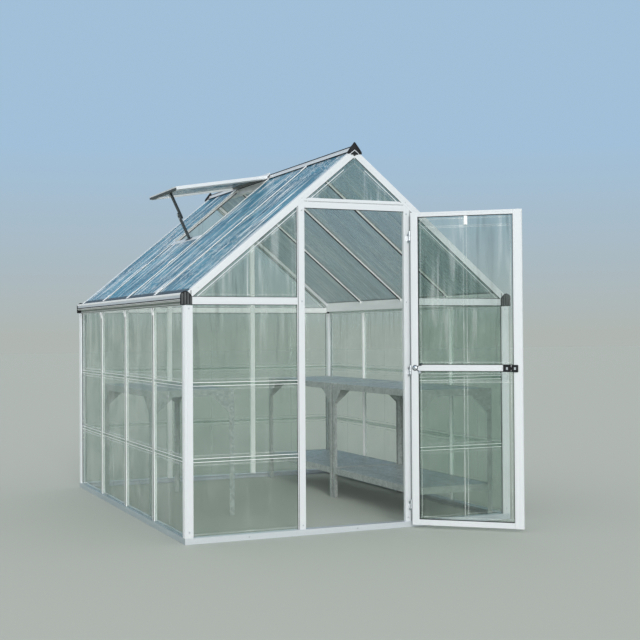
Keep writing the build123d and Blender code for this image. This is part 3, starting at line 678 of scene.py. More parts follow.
def dress(node: str, material: Material) -> None:
    """Give a CAD node its finish.

    Args:
        node: The node's name.
        material: The material for all its faces.
    """
    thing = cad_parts[node]
    if not thing.material_slots:
        thing.data.materials.append(material)
    for slot in thing.material_slots:
        slot.material = material
    LOG.info("dressed %s", node)


def add_object(name: str, data: bpy.types.ID) -> bpy.types.Object:
    """Add an object to the scene.

    Args:
        name: The object's name.
        data: Its mesh, camera or lamp.

    Returns:
        The object.
    """
    thing = bpy.data.objects.new(name, data)
    bpy.context.scene.collection.objects.link(thing)
    return thing


# The studio

@dataclass
class Studio:
    """A pale floor, a pale backdrop, soft light and the camera."""

    camera_place: Point = (-2.6337, -5.7251, 1.0427)
    camera_yaw: float = 0.4239
    camera_pitch: float = 0.0171
    camera_roll: float = -0.0064
    focal_pixels: float = 1197.4
    centre_pixels: Pair = (346.75, 311.67)
    picture: float = 640.0
    sensor: float = 36.0
    floor_colour: Colour = (0.50, 0.53, 0.48)
    horizon_colour: Colour = (0.432, 0.471, 0.449)
    sky_colour: Colour = (0.36, 0.525, 0.69)
    sky_light: float = 0.74
    light_colour: Colour = (0.96, 0.98, 1.0)
    fade_height: float = 0.15
    floor_half: float = 60.0
    floor_level: float = -0.0005
    clear_layers: int = 48
    sun_strength: float = 0.96
    fill_strength: float = 1.2

    def camera(self) -> None:
        """Place the camera at the photograph's viewpoint."""
        yaw, pitch, roll = self.camera_yaw, self.camera_pitch, self.camera_roll
        ahead = Vector((math.sin(yaw) * math.cos(pitch), math.cos(yaw) * math.cos(pitch), math.sin(pitch)))
        level = Vector((math.cos(yaw), -math.sin(yaw), 0.0))
        above = level.cross(ahead)
        right = level * math.cos(roll) + above * math.sin(roll)
        up = above * math.cos(roll) - level * math.sin(roll)
        data = bpy.data.cameras.new("viewpoint")
        data.sensor_width = self.sensor
        data.lens = self.focal_pixels * self.sensor / self.picture
        data.shift_x = (self.picture / 2 - self.centre_pixels[0]) / self.picture
        data.shift_y = (self.centre_pixels[1] - self.picture / 2) / self.picture
        thing = add_object("viewpoint", data)
        turn = Matrix((right, up, -ahead)).transposed().to_4x4()
        thing.matrix_world = Matrix.Translation(Vector(self.camera_place)) @ turn
        bpy.context.scene.camera = thing

    def world(self) -> None:
        """Soft light from all round, and a backdrop that fades from the floor's tone to a pale sky."""
        world = bpy.data.worlds.new("pale_backdrop")
        bpy.context.scene.world = world
        world.use_nodes = True
        tree = world.node_tree
        tree.nodes.clear()
        path = add_node(tree, "ShaderNodeLightPath")
        seen = calculate(tree, "MAXIMUM", path.outputs["Is Camera Ray"], path.outputs["Is Transmission Ray"])
        seen = calculate(tree, "MAXIMUM", seen, path.outputs["Is Glossy Ray"])
        way = add_node(tree, "ShaderNodeTexCoord").outputs["Generated"]
        rise = add_node(tree, "ShaderNodeSeparateXYZ", Vector=way).outputs["Z"]
        fade = remap(tree, rise, 0.0, self.fade_height, 0.0, 1.0)
        shade = blend_colours(tree, fade, self.horizon_colour, self.sky_colour)
        light = add_node(
            tree, "ShaderNodeBackground", Color=(*self.light_colour, 1.0), Strength=self.sky_light)
        shown = add_node(tree, "ShaderNodeBackground", Color=shade, Strength=1.0)
        mixed = add_node(tree, "ShaderNodeMixShader", in0=seen, in1=light.outputs[0], in2=shown.outputs[0])
        add_node(tree, "ShaderNodeOutputWorld", Surface=mixed.outputs[0])

    def floor(self) -> None:
        """A wide pale floor."""
        half = self.floor_half
        corners = [(-half, -half, 0.0), (half, -half, 0.0), (half, half, 0.0), (-half, half, 0.0)]
        mesh = bpy.data.meshes.new("studio_floor")
        mesh.from_pydata(corners, [], [(0, 1, 2, 3)])
        material, tree = new_material("studio_floor")
        shader = add_node(
            tree, "ShaderNodeBsdfPrincipled", Base_Color=(*self.floor_colour, 1.0), Roughness=0.9)
        surface(tree, shader)
        mesh.materials.append(material)
        thing = add_object("studio_floor", mesh)
        thing.location.z = self.floor_level

    def sun(self, name: str, place: Point, aim: Point, width: float, strength: float, colour: Colour) -> None:
        """Add a soft sun.

        Args:
            name: The lamp's name.
            place: Where it stands.
            aim: What it points at.
            width: Its width in degrees.
            strength: Its strength.
            colour: Its colour.
        """
        data = bpy.data.lights.new(name, "SUN")
        data.angle = math.radians(width)
        data.energy = strength
        data.color = colour
        thing = add_object(name, data)
        thing.location = place
        thing.rotation_euler = (Vector(aim) - Vector(place)).to_track_quat("-Z", "Y").to_euler()

    def build(self) -> None:
        """Set up the camera, the world, the floor, the lamps and the view."""
        scene = bpy.context.scene
        scene.view_settings.view_transform = "Standard"
        scene.cycles.transparent_max_bounces = self.clear_layers
        self.camera()
        self.world()
        self.floor()
        self.sun("key", (-1.5, -7.5, 4.2), (0.0, 0.8, 0.9), 14.0, self.sun_strength, (1.0, 0.985, 0.96))
        self.sun("fill", (-3.4, -6.2, 1.7), (0.0, 1.6, 1.0), 26.0, self.fill_strength, (1.0, 0.99, 0.97))


# The greenhouse

@dataclass(frozen=True)
class Cut:
    """A plane on which an extruded member ends."""

    point: Vector
    normal: Vector

    @staticmethod
    def across(axis: str, place: float) -> "Cut":
        """A plane square to the x, y or z axis at a place."""
        normal = Vector([float(axis == name) for name in "xyz"])
        return Cut(normal * place, normal)

    def reach(self, start: Vector, way: Vector) -> Vector:
        """The point where a line through start, along way, meets the plane."""
        return start + way * ((self.point - start).dot(self.normal) / way.dot(self.normal))


def span(axis: str, start: float, stop: float) -> tuple[Cut, Cut]:
    """Two cuts square to one axis."""
    return Cut.across(axis, start), Cut.across(axis, stop)


class MeshMaker:
    """Collects closed forms and turns them into one object with smooth faces between sharp edges."""

    def __init__(self, name: str, materials: list[Material]) -> None:
        """Start an empty piece.

        Args:
            name: The piece's name.
            materials: Its materials, numbered by their place in the list.
        """
        self.name = name
        self.materials = materials
        self.mesh = bmesh.new()

    def loft(self, rings: list[list[Vector]], slot: int = 0, closed: bool = False) -> None:
        """Join rings of equal length into one closed form.

        Args:
            rings: The rings of points, in order.
            slot: The number of the material.
            closed: Whether the last ring joins the first; if not, the ends get caps.
        """
        made = [[self.mesh.verts.new(point) for point in ring] for ring in rings]
        pairs = list(zip(made, made[1:] + made[:1])) if closed else list(zip(made, made[1:]))
        count = len(made[0])
        faces = []
        for low, high in pairs:
            for index in range(count):
                after = (index + 1) % count
                faces.append(self.mesh.faces.new((low[index], low[after], high[after], high[index])))
        if not closed:
            faces.append(self.mesh.faces.new(made[0][::-1]))
            faces.append(self.mesh.faces.new(made[-1]))
        for face in faces:
            face.material_index = slot
        bmesh.ops.recalc_face_normals(self.mesh, faces=faces)

    def extrude(self, section: Outline, origin: Point, u: Point, v: Point, start: Cut, end: Cut,
                slot: int = 0) -> None:
        """Run a section between two cuts.

        Args:
            section: Outline of (along u, along v) points in millimetres.
            origin: The section's zero, in metres.
            u: Direction of the first number.
            v: Direction of the second number.
            start: Where the member starts.
            end: Where it ends.
            slot: The number of the material.
        """
        across, deep = Vector(u).normalized(), Vector(v).normalized()
        way = across.cross(deep)
        base = [Vector(origin) + across * (a / 1000) + deep * (b / 1000) for a, b in section]
        self.loft(
            [[start.reach(point, way) for point in base], [end.reach(point, way) for point in base]], slot)

    def block(self, low: Point, high: Point, slot: int = 0, soft: float = 0.0008) -> None:
        """Add a box with chamfered edges.

        Args:
            low: Its lowest corner.
            high: Its highest corner.
            slot: The number of the material.
            soft: Size of the chamfer.
        """
        rings = []
        for z, inset in ((low[2], soft), (low[2] + soft, 0.0), (high[2] - soft, 0.0), (high[2], soft)):
            x0, x1, y0, y1 = low[0] + inset, high[0] - inset, low[1] + inset, high[1] - inset
            outline = ((x0 + soft, y0), (x1 - soft, y0), (x1, y0 + soft), (x1, y1 - soft),
                       (x1 - soft, y1), (x0 + soft, y1), (x0, y1 - soft), (x0, y0 + soft))
            rings.append([Vector((x, y, z)) for x, y in outline])
        self.loft(rings, slot)

    def frame_bead(self, corners: list[Vector], normal: Vector, inset: float, width: float, height: float,
                   slot: int = 0) -> None:
        """Add a low bead that follows a convex outline inside its edge.

        Args:
            corners: The outline's corners, in order.
            normal: The direction in which the bead stands up.
            inset: Distance from the outline to the bead's middle.
            width: The bead's width.
            height: The bead's height.
            slot: The number of the material.
        """
        half = width / 2
        rings = []
        crown = half * BEAD_CROWN
        for far, up in ((inset - half, -BEAD_SINK), (inset - crown, height), (inset + crown, height),
                        (inset + half, -BEAD_SINK)):
            rings.append([point + normal * up for point in inset_outline(corners, normal, far)])
        self.loft(rings, slot, closed=True)

    def line_bead(self, start: Vector, end: Vector, normal: Vector, width: float, height: float,
                  slot: int = 0) -> None:
        """Add a low straight bead.

        Args:
            start: Where it starts.
            end: Where it ends.
            normal: The direction in which the bead stands up.
            width: The bead's width.
            height: The bead's height.
            slot: The number of the material.
        """
        way = (end - start).normalized()
        side = way.cross(normal).normalized()
        half = width / 2
        crown = half * BEAD_CROWN
        ring = [side * -half - normal * BEAD_SINK, side * -crown + normal * height,
                side * crown + normal * height, side * half - normal * BEAD_SINK]
        self.loft([[start + point for point in ring], [end + point for point in ring]], slot)

    def turn(self, matrix: Matrix) -> None:
        """Move all that was added by a matrix."""
        bmesh.ops.transform(self.mesh, matrix=matrix, verts=self.mesh.verts)

    def finish(self, body: str, slot_name: str, replaced: tuple[str, ...] = ()) -> bpy.types.Object:
        """Turn the forms into a piece of the greenhouse.

        Args:
            body: The CAD body that carries it.
            slot_name: The record's material slot; not used.
            replaced: CAD nodes that it stands for.

        Returns:
            The piece.
        """
        data = bpy.data.meshes.new(self.name)
        self.mesh.to_mesh(data)
        self.mesh.free()
        for material in self.materials:
            data.materials.append(material)
        data.shade_smooth()
        data.set_sharp_from_angle(angle=SMOOTH_ANGLE)
        piece = add_object(self.name, data)
        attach(piece, body)
        if replaced:
            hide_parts(*replaced)
        LOG.info("built %s with %d faces", self.name, len(data.polygons))
        return piece


def grow(tree: Tree, values: dict[str, object], source: bpy.types.Mesh | None = None) -> bpy.types.Mesh:
    """Run a geometry node tree and keep its result as a plain mesh.

    Args:
        tree: The tree.
        values: A value for each of its named inputs.
        source: The mesh that it starts from, if it needs one.

    Returns:
        The result.
    """
    carrier = add_object("carrier", source or bpy.data.meshes.new("carrier"))
    modifier = carrier.modifiers.new("tree", "NODES")
    modifier.node_group = tree
    for item in tree.interface.items_tree:
        if item.item_type == "SOCKET" and item.in_out == "INPUT" and item.name in values:
            modifier[item.identifier] = values[item.name]
    made = bpy.data.meshes.new_from_object(carrier.evaluated_get(bpy.context.evaluated_depsgraph_get()))
    carrier.modifiers.clear()
    bpy.data.objects.remove(carrier)
    return made


def geometry_tree(name: str, inputs: dict[str, str]) -> tuple[Tree, bpy.types.Node, bpy.types.Node]:
    """Start a geometry node tree that takes and gives a geometry.

    Args:
        name: The tree's name.
        inputs: The kind of each further input, by its name.

    Returns:
        The tree, its input node and its output node.
    """
    tree = bpy.data.node_groups.new(name, "GeometryNodeTree")
    for key, kind in {"Geometry": "Geometry", **inputs}.items():
        tree.interface.new_socket(key, in_out="INPUT", socket_type="NodeSocket" + kind)
    tree.interface.new_socket("Geometry", in_out="OUTPUT", socket_type="NodeSocketGeometry")
    return tree, tree.nodes.new("NodeGroupInput"), tree.nodes.new("NodeGroupOutput")


def inset_outline(corners: list[Vector], normal: Vector, inset: float) -> list[Vector]:
    """Move every edge of a flat convex outline inwards.

    Args:
        corners: The outline's corners, in order.
        normal: The outline's normal.
        inset: How far the edges move.

    Returns:
        The new corners.
    """
    middle = sum(corners, Vector()) / len(corners)
    moved = []
    for index, corner in enumerate(corners):
        before = (corner - corners[index - 1]).normalized()
        after = (corners[(index + 1) % len(corners)] - corner).normalized()
        inward = [normal.cross(before).normalized(), normal.cross(after).normalized()]
        inward = [way if way.dot(middle - corner) > 0 else -way for way in inward]
        split = 1.0 + inward[0].dot(inward[1])
        moved.append(corner + (inward[0] + inward[1]) * (inset / split))
    return moved


def mirrored(section: Outline) -> Outline:
    """A half section and its mirror image, as one outline."""
    return (*section, *((-a, b) for a, b in reversed(section) if a))


@dataclass
class Layout:
    """Main places of the frame, in metres."""

    ridge_z: float = 2.013
    eave_z: float = 1.241
    base_top: float = 0.030
    post_top: float = 1.180
    bays: int = 4
    window_bay: int = 2
    proud: float = 0.010
    door_post_half: float = 0.021
    half_width: float = field(init=False)
    length: float = field(init=False)
    post_x: float = field(init=False)

    def __post_init__(self) -> None:
        """Read the footprint from the studs and the gutter."""
        self.half_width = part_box("side_studs")[1][0]
        self.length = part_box("gutter_left")[1][1]
        self.post_x = self.half_width / 3

    def slope(self) -> float:
        """The roof's slope in radians."""
        return math.atan2(self.ridge_z - self.eave_z, self.half_width)

    def roof(self, out: float, drop: float = 0.0) -> float:
        """Height of the roof line at a distance from the middle, less a drop square to the slope."""
        return self.ridge_z - out * math.tan(self.slope()) - drop / math.cos(self.slope())

    def bay_lines(self) -> list[float]:
        """Where the side walls' bays meet, front to back, with both ends."""
        return [self.length * index / self.bays for index in range(self.bays + 1)]

    def bay_spans(self, edge: float, inner: float) -> list[Pair]:
        """Every bay's front and back end, front to back.

        Args:
            edge: How far the outer ends keep from the gables.
            inner: How far the other ends keep from the bay lines.

        Returns:
            The two ends of each bay.
        """
        lines = self.bay_lines()
        found = []
        for index in range(self.bays):
            start = lines[index] + (edge if index == 0 else inner)
            found.append((start, lines[index + 1] - (edge if index == self.bays - 1 else inner)))
        return found

    def down(self, side: int) -> Vector:
        """The direction down the slope of one side."""
        return Vector((side * math.cos(self.slope()), 0.0, -math.sin(self.slope())))

    def under(self, side: int) -> Vector:
        """The direction square to the slope of one side, into the house."""
        return Vector((-side * math.sin(self.slope()), 0.0, -math.cos(self.slope())))

    def rafter_cut(self, side: int, drop: float = RAFTER_DEPTH) -> Cut:
        """The plane along the underside of a rafter."""
        return Cut(Vector((0.0, 0.0, self.ridge_z)) + self.under(side) * drop, self.under(side))


@dataclass
class Part:
    """A group of members that are built together."""

    layout: Layout
    finishes: Finishes

    def sealed(self, name: str, grain: Grain) -> MeshMaker:
        """Start a piece of frame aluminium with black seals as its second material."""
        return MeshMaker(name, [self.finishes.aluminium(grain), self.finishes.black_strip()])


@dataclass
class Base(Part):
    """The base rails, with the bright folded lip along their outer top edge."""

    corner: float = 0.885
    doorway: float = 0.332
    inset: float = 0.034

    def build(self) -> None:
        """Dress the rails and add their lips."""
        for node in ("base_rail_front", "base_rail_back"):
            dress(node, self.finishes.zinc_sheet(Grain.ACROSS))
        # The long side rails get the darker zinc: painted shade.
        for node in ("base_rail_left", "base_rail_right"):
            dress(node, self.finishes.painted_shade_sheet())
        self.lips()

    def lips(self) -> None:
        """A rolled lip round the top of the base, on the flange inside the posts."""
        maker = MeshMaker("base_top_lips", [self.finishes.zinc_sheet(Grain.ACROSS)])
        proud = self.layout.proud
        x, y = self.layout.half_width + proud, self.layout.length + proud
        z = self.layout.base_top
        ends = span("y", self.inset, self.layout.length - self.inset)
        section = [(16, -1), (16, 2.6), (17, 3.4), (18.6, 3.4), (19.6, 2.6), (19.6, -1)]
        for side in (-1, 1):
            maker.extrude(section, (side * x, 0.0, z), (-side, 0, 0), UP, *ends)
        maker.extrude(section, (0.0, y, z), FORWARD, UP, *span("x", -self.corner, self.corner))
        for side in (-1, 1):
            maker.extrude(
                section, (0.0, -proud, z), BACK, UP, *span("x", side * self.corner, side * self.doorway))
        maker.finish(FRAME_BODY, "galvanised_steel")


@dataclass
class Uprights(Part):
    """Corner posts, wall studs and door posts with their grooves and gaskets."""

    corner: Outline = (
        (0.6, 0), (8.5, 0), (9.4, 1.8), (15.2, 1.8), (16.1, 0), (39.5, 0), (40.3, 1), (43.4, 1), (44, 1.6),
        (44, 13), (13, 13), (13, 44), (1.6, 44), (1, 43.4), (1, 40.3), (0, 39.5), (0, 16.1), (1.8, 15.2),
        (1.8, 9.4), (0, 8.5), (0, 0.6))
    stud: Outline = mirrored(
        [(0, 20), (4, 20), (4, 3), (17, 3), (17, 0.6), (16.4, 0), (10.2, 0), (9.4, 1.9), (0, 1.9)])
    # A dark strip over each stud's channel: painted shade.
    shade_strip: Outline = mirrored([(0, 1.9), (9, 1.9), (9, 0.4), (7.6, -0.4), (0, -0.4)])
    cover: Outline = mirrored([(0, 20.6), (15.4, 20.6), (16, 20), (16, 18.2), (0, 18.2)])
    bracket: Outline = (
        (-8, 1140), (8, 1140), (10, 1152), (28, 1168), (28, 1178), (20, 1178), (0, 1160), (-20, 1178),
        (-28, 1178), (-28, 1168), (-10, 1152))
    door_post: Outline = (
        (0, 0.8), (0.8, 0), (34, 0), (34.8, 0.8), (34.8, 2.5), (37.4, 2.5), (37.4, 0.8), (41.4, 0.4),
        (42, 1), (42, 3), (26, 3), (26, 20), (0, 20))
    gasket: Outline = ((34.9, 2.5), (37.3, 2.5), (37.3, 1), (36.2, 0.6), (34.9, 1))
    bracket_depth: float = 0.0035

    def build(self) -> None:
        """Build all uprights."""
        self.corner_posts()
        self.side_studs()
        self.back_studs()
        self.door_posts()

    def corner_posts(self) -> None:
        """The grooved angle posts at the four corners."""
        maker = self.sealed("grooved_corner_posts", Grain.UPRIGHT)
        proud = self.layout.proud
        x = self.layout.half_width + proud
        low, high = span("z", self.layout.base_top, self.layout.post_top)
        for side in (-1, 1):
            for y, inward in ((-proud, 1), (self.layout.length + proud, -1)):
                maker.extrude(self.corner, (side * x, y, 0.0), (-side, 0, 0), (0, inward, 0), low, high)
                for u, v in (((-side, 0, 0), (0, inward, 0)), ((0, inward, 0), (-side, 0, 0))):
                    maker.extrude([(44, 9.5), (46.5, 10.5), (46.5, 12.8), (44, 12.8)], (side * x, y, 0.0),
                                  u, v, low, high, 1)
        maker.finish(FRAME_BODY, "aluminium_frame", ("corner_posts",))

    def stud_with_shade_strip(
            self, maker: MeshMaker, origin: Point, u: Point, v: Point, low: Cut, high: Cut) -> None:
        """Add a stud and the dark strip over its channel, which is painted shade.

        Args:
            maker: The piece that gets them.
            origin: The middle of the stud's outer face.
            u: The direction along the wall.
            v: The direction into the house.
            low: Where the stud starts.
            high: Where it ends.
        """
        maker.extrude(self.stud, origin, u, v, low, high)
        maker.extrude(self.shade_strip, origin, u, v, low, high, 1)

    def side_studs(self) -> None:
        """The channel-faced studs of both side walls."""
        maker = MeshMaker(
            "channel_side_studs", [self.finishes.bright(Grain.UPRIGHT), self.finishes.channel()])
        low, high = span("z", self.layout.base_top, self.layout.post_top)
        for side in (-1, 1):
            for y in self.layout.bay_lines()[1:-1]:
                face = (side * self.layout.half_width, y, 0.0)
                self.stud_with_shade_strip(maker, face, BACK, (-side, 0, 0), low, high)
                maker.extrude(
                    self.bracket, face, BACK, UP, *span("x", face[0], face[0] + side * self.bracket_depth))
        maker.finish(FRAME_BODY, "aluminium_frame", ("side_studs",))

    def back_studs(self) -> None:
        """The studs of the back wall, cut off under the rafters."""
        maker = MeshMaker(
            "channel_back_studs", [self.finishes.bright(Grain.UPRIGHT), self.finishes.channel()])
        low = Cut.across("z", self.layout.base_top)
        for side in (-1, 1):
            face = (side * self.layout.post_x, self.layout.length, 0.0)
            # The back studs also get a strip on their inner face, in the paler aluminium: painted light.
            for section, slot in ((self.stud, 0), (self.shade_strip, 1), (self.cover, 0)):
                maker.extrude(section, face, ACROSS, FORWARD, low, self.layout.rafter_cut(side), slot)
        maker.finish(FRAME_BODY, "aluminium_frame", ("back_studs",))

    def door_posts(self) -> None:
        """The posts beside the doorway with a gasket and a thin lip at their panels' side."""
        maker = self.sealed("grooved_door_posts", Grain.UPRIGHT)
        low = Cut.across("z", self.layout.base_top)
        inner = self.layout.post_x - self.layout.door_post_half
        for side in (-1, 1):
            high = self.layout.rafter_cut(side)
            for slot, section in ((0, self.door_post), (1, self.gasket)):
                maker.extrude(section, (side * inner, 0.0, 0.0), (side, 0, 0), BACK, low, high, slot)
            trim = [(43, 1.2), (44.6, 1.2), (45.2, 2), (45.2, 3), (43, 3)]
            maker.extrude(trim, (side * inner, 0.0, 0.0), (side, 0, 0), BACK, low, high, 1)
        maker.finish(FRAME_BODY, "aluminium_frame", ("door_posts",))


@dataclass
class Rails(Part):
    """Eave rails of the gables, the door header and the glazing trims above them."""

    rail: Outline = (
        (0, 0.7), (0.7, 0), (4, 0), (4.6, 0.9), (6, 0.9), (6.6, 0), (30.4, 0), (31, 0.9), (32.4, 0.9),
        (33, 0), (36.3, 0), (37, 0.7), (37, 3), (22.5, 3), (22.5, 20), (14.5, 20), (14.5, 3), (0, 3))
    header: Outline = (
        (0, 0.7), (0.7, 0), (27, 0), (27.8, 1.6), (30.2, 1.6), (31, 0), (33.3, 0), (34, 0.7), (34, 3),
        (24.5, 3), (24.5, 20), (9.5, 20), (9.5, 3), (0, 3))
    rail_low: float = 1.186
    header_low: float = 1.688
    stud_half: float = 0.017
    corner: float = 0.891

    def build(self) -> None:
        """Build the rails and the header."""
        middle = self.layout.post_x - self.stud_half
        front = self.outer_spans(self.layout.door_post_half)
        back = [*self.outer_spans(self.stud_half), (-middle, middle)]
        self.gable_rails("grooved_front_rails", "front_rails", 0.0, 1, front)
        self.gable_rails("grooved_back_rails", "back_rails", self.layout.length, -1, back)
        self.door_header()

    def outer_spans(self, half: float) -> list[Pair]:
        """The ends of the left and the right rail, beside inner uprights of this half width."""
        return [(side * (self.layout.post_x + half), side * self.corner) for side in (-1, 1)]

    def gable_rails(self, name: str, node: str, y: float, inward: int, spans: Sequence[Pair]) -> None:
        """Build the rails of one gable.

        Args:
            name: The piece's name.
            node: The CAD node that it stands for.
            y: The wall's outer face.
            inward: The direction into the house along y.
            spans: The two ends of each rail.
        """
        # The back rails get the paler aluminium: painted light.
        metal = self.finishes.aluminium if inward > 0 else self.finishes.bright
        maker = MeshMaker(name, [metal(Grain.ACROSS), self.finishes.black_strip()])
        parts = [(0, self.rail), (1, [(-2.6, 1.2), (0, 0.6), (0, 2.9), (-2.6, 2.9)]),
                 (1, [(37, 0.6), (39.6, 1.2), (39.6, 2.9), (37, 2.9)])]
        # The back rails also get a strip on their inner face, in the paler aluminium.
        if inward < 0:
            parts.append((0, [(1, 18.2), (36, 18.2), (36, 20), (35.4, 20.6), (1.6, 20.6), (1, 20)]))
        for start, stop in spans:
            for slot, section in parts:
                maker.extrude(
                    section, (0.0, y, self.rail_low), UP, (0, inward, 0), *span("x", start, stop), slot)
        maker.finish(FRAME_BODY, "aluminium_frame", (node,))

    def door_header(self) -> None:
        """The header with a gasket below it and the glazing trim above it."""
        maker = self.sealed("grooved_door_header", Grain.ACROSS)
        half = self.layout.post_x - self.layout.door_post_half
        ends = span("x", -half, half)
        origin = (0.0, 0.0, self.header_low)
        trim = [
            (35.6, 1.4), (36.4, 0.6), (47.6, 0.6), (48.2, 1.6), (52, 1.6), (52.6, 2.2), (52.6, 3), (35.6, 3)]
        parts = ((0, self.header), (1, [(-3.2, 1.4), (0, 0.8), (0, 4), (-3.2, 4)]),
                 (1, [(34, 1.2), (35.6, 1.2), (35.6, 2.9), (34, 2.9)]))
        for slot, section in parts:
            maker.extrude(section, origin, UP, BACK, *ends, slot)
        maker.extrude(trim, origin, UP, BACK, self.layout.rafter_cut(-1), self.layout.rafter_cut(1))
        maker.finish(FRAME_BODY, "aluminium_frame", ("door_header",))


@dataclass
class RoofFrame(Part):
    """Rafters, glazing bars and the ridge."""

    rafter: Outline = (
        (0, 0.8), (0.8, 0), (22, 0), (22.6, 1.2), (25.4, 1.2), (26, 0), (35.3, 0), (36, 0.7), (36, 3),
        (25, 3), (25, 20), (3, 20), (3, 35), (0.6, 35), (0, 34.4))
    bar: Outline = mirrored(
        [(0, 20), (3, 20), (3, 3), (13, 3), (13, 1.9), (12.4, 1.3), (6.4, 1.3), (5.6, 0), (0, 0)])
    near_end: float = 0.003
    far_end: float = 0.895
    laps: tuple[float, ...] = (0.392, 0.645, 0.645)

    def build(self) -> None:
        """Build all roof members."""
        self.rafters("beaded_front_rafters", "front_rafters", 0.0, 1)
        self.rafters("beaded_back_rafters", "back_rafters", self.layout.length, -1)
        self.bars()
        self.ridge()
        self.ridge_caps()

    def rafters(self, name: str, node: str, y: float, inward: int) -> None:
        """Build the two rafters of one gable.

        Args:
            name: The piece's name.
            node: The CAD node that they stand for.
            y: The gable's outer face.
            inward: The direction into the house along y.
        """
        maker = self.sealed(name, Grain.SLOPE)
        top = (0.0, y, self.layout.ridge_z)
        gasket = [(36, 0.8), (38.4, 1.4), (38.4, 2.9), (36, 2.9)]
        clip = [(48.6, 1.8), (49.2, 1.2), (52.2, 1.2), (52.8, 1.8), (52.8, 3), (48.6, 3)]
        tip = [(0, 0.8), (0.8, 0), (35.3, 0), (36, 0.7), (36, 3), (0, 3)]
        head, foot = self.near_end, self.far_end
        for side in (-1, 1):
            for slot, section, near, far in (
                    (0, self.rafter, head, foot), (1, gasket, head, foot), (0, clip, 0.06, foot),
                    (0, tip, foot, foot + 0.018)):
                ends = span("x", side * near, side * far)
                maker.extrude(section, top, self.layout.under(side), (0, inward, 0), *ends, slot)
        maker.finish(FRAME_BODY, "aluminium_frame", (node,))

    def bars(self) -> None:
        """The glazing bars with the clips at their feet, laps and heads."""
        use = self.finishes
        maker = MeshMaker("beaded_roof_bars", [use.bright(Grain.SLOPE), use.black_strip(), use.channel()])
        for side in (-1, 1):
            ends = span("x", side * self.near_end, side * self.far_end)
            inner = span("x", side * 0.016, side * (self.far_end - 0.011))
            for y, lap in zip(self.layout.bay_lines()[1:-1], self.laps):
                top = (0.0, y, self.layout.ridge_z)
                maker.extrude(self.bar, top, BACK, self.layout.under(side), *ends)
                # Painted shade: a dark grey-green strip along each bar's front-facing side.
                edge = [(-13.8, 1), (-12, 1), (-12, 2.9), (-13.8, 2.9)]
                maker.extrude(edge, top, BACK, self.layout.under(side), *ends, 2)
                for way in (-1, 1):
                    rest = [(way * 3.0, 7.15), (way * 12.6, 7.15), (way * 12.6, 8.0), (way * 11.8, 8.6),
                            (way * 3.0, 8.6)]
                    maker.extrude(rest, top, BACK, self.layout.under(side), *inner)
                # Painted shade: a black strip along each bar's foot.
                foot = mirrored([(3.6, 14.6), (3.6, 20), (3, 20.6)])
                maker.extrude(foot, top, BACK, self.layout.under(side), *inner, 1)
                self.clip(maker, side, y, self.far_end - 0.026, self.far_end + 0.020, 15.0)
                self.clip(maker, side, y, 0.012, 0.050, 13.0)
                self.clip(maker, side, y, lap - 0.014, lap + 0.014, 13.0)
        maker.finish(FRAME_BODY, "aluminium_frame", ("roof_bars",))

    def clip(self, maker: MeshMaker, side: int, y: float, near: float, far: float, half: float) -> None:
        """Add a folded clip that lies over a bar.

        Args:
            maker: The piece that gets it.
            side: Which slope.
            y: The bar's middle.
            near: Its upper end's distance from the middle of the roof.
            far: Its lower end's distance.
            half: Half its width in millimetres.
        """
        section = mirrored([(0, -2.4), (half - 1.0, -2.4), (half, -1.4), (half, 0.1), (0, 0.1)])
        maker.extrude(section, (0.0, y, self.layout.ridge_z), BACK, self.layout.under(side),
                      *span("x", side * near, side * far))

    def ridge(self) -> None:
        """The ridge beam with a bead on each wing and a black strip along its top."""
        maker = self.sealed("ridge_beam_with_seal", Grain.LENGTHWISE)
        z, tan = self.layout.ridge_z, math.tan(self.layout.slope())
        wing, step = 21.0, 9.5
        half = [(0, 7.4), (8.2, 7.4), (9.2, 6.6)]
        slanted = ((step, 3.6), (wing - 4.0, 3.6), (wing - 3.2, 4.6), (wing, 4.2), (wing, 0.3), (3, 0.3))
        half += [(a, b - a * tan) for a, b in slanted]
        half += [(3, -51), (0, -51)]
        foot = [(0, -51), (14, -51), (14, -54.4), (13.4, -55), (0, -55)]
        black_strip = [(0, 14.2), (4.6, 14.2), (6.4, 12.8), (7.2, 7.4), (0, 7.4)]
        lip = [(a, b - a * tan) for a, b in ((wing, 0.3), (wing + 3.2, -0.4), (wing + 3.2, 1.4), (wing, 3.0))]
        top = (0.0, 0.0, z)
        ends = span("y", 0.0, self.layout.length)
        foot_ends = span("y", 0.003, self.layout.length - 0.003)
        for slot, section, run in (
                (0, mirrored(half), ends), (0, mirrored(foot), foot_ends), (1, mirrored(black_strip), ends),
                (1, lip, ends), (1, [(-a, b) for a, b in lip], ends)):
            maker.extrude(section, top, ACROSS, UP, *run, slot)
        maker.finish(FRAME_BODY, "aluminium_frame", ("ridge_beam",))

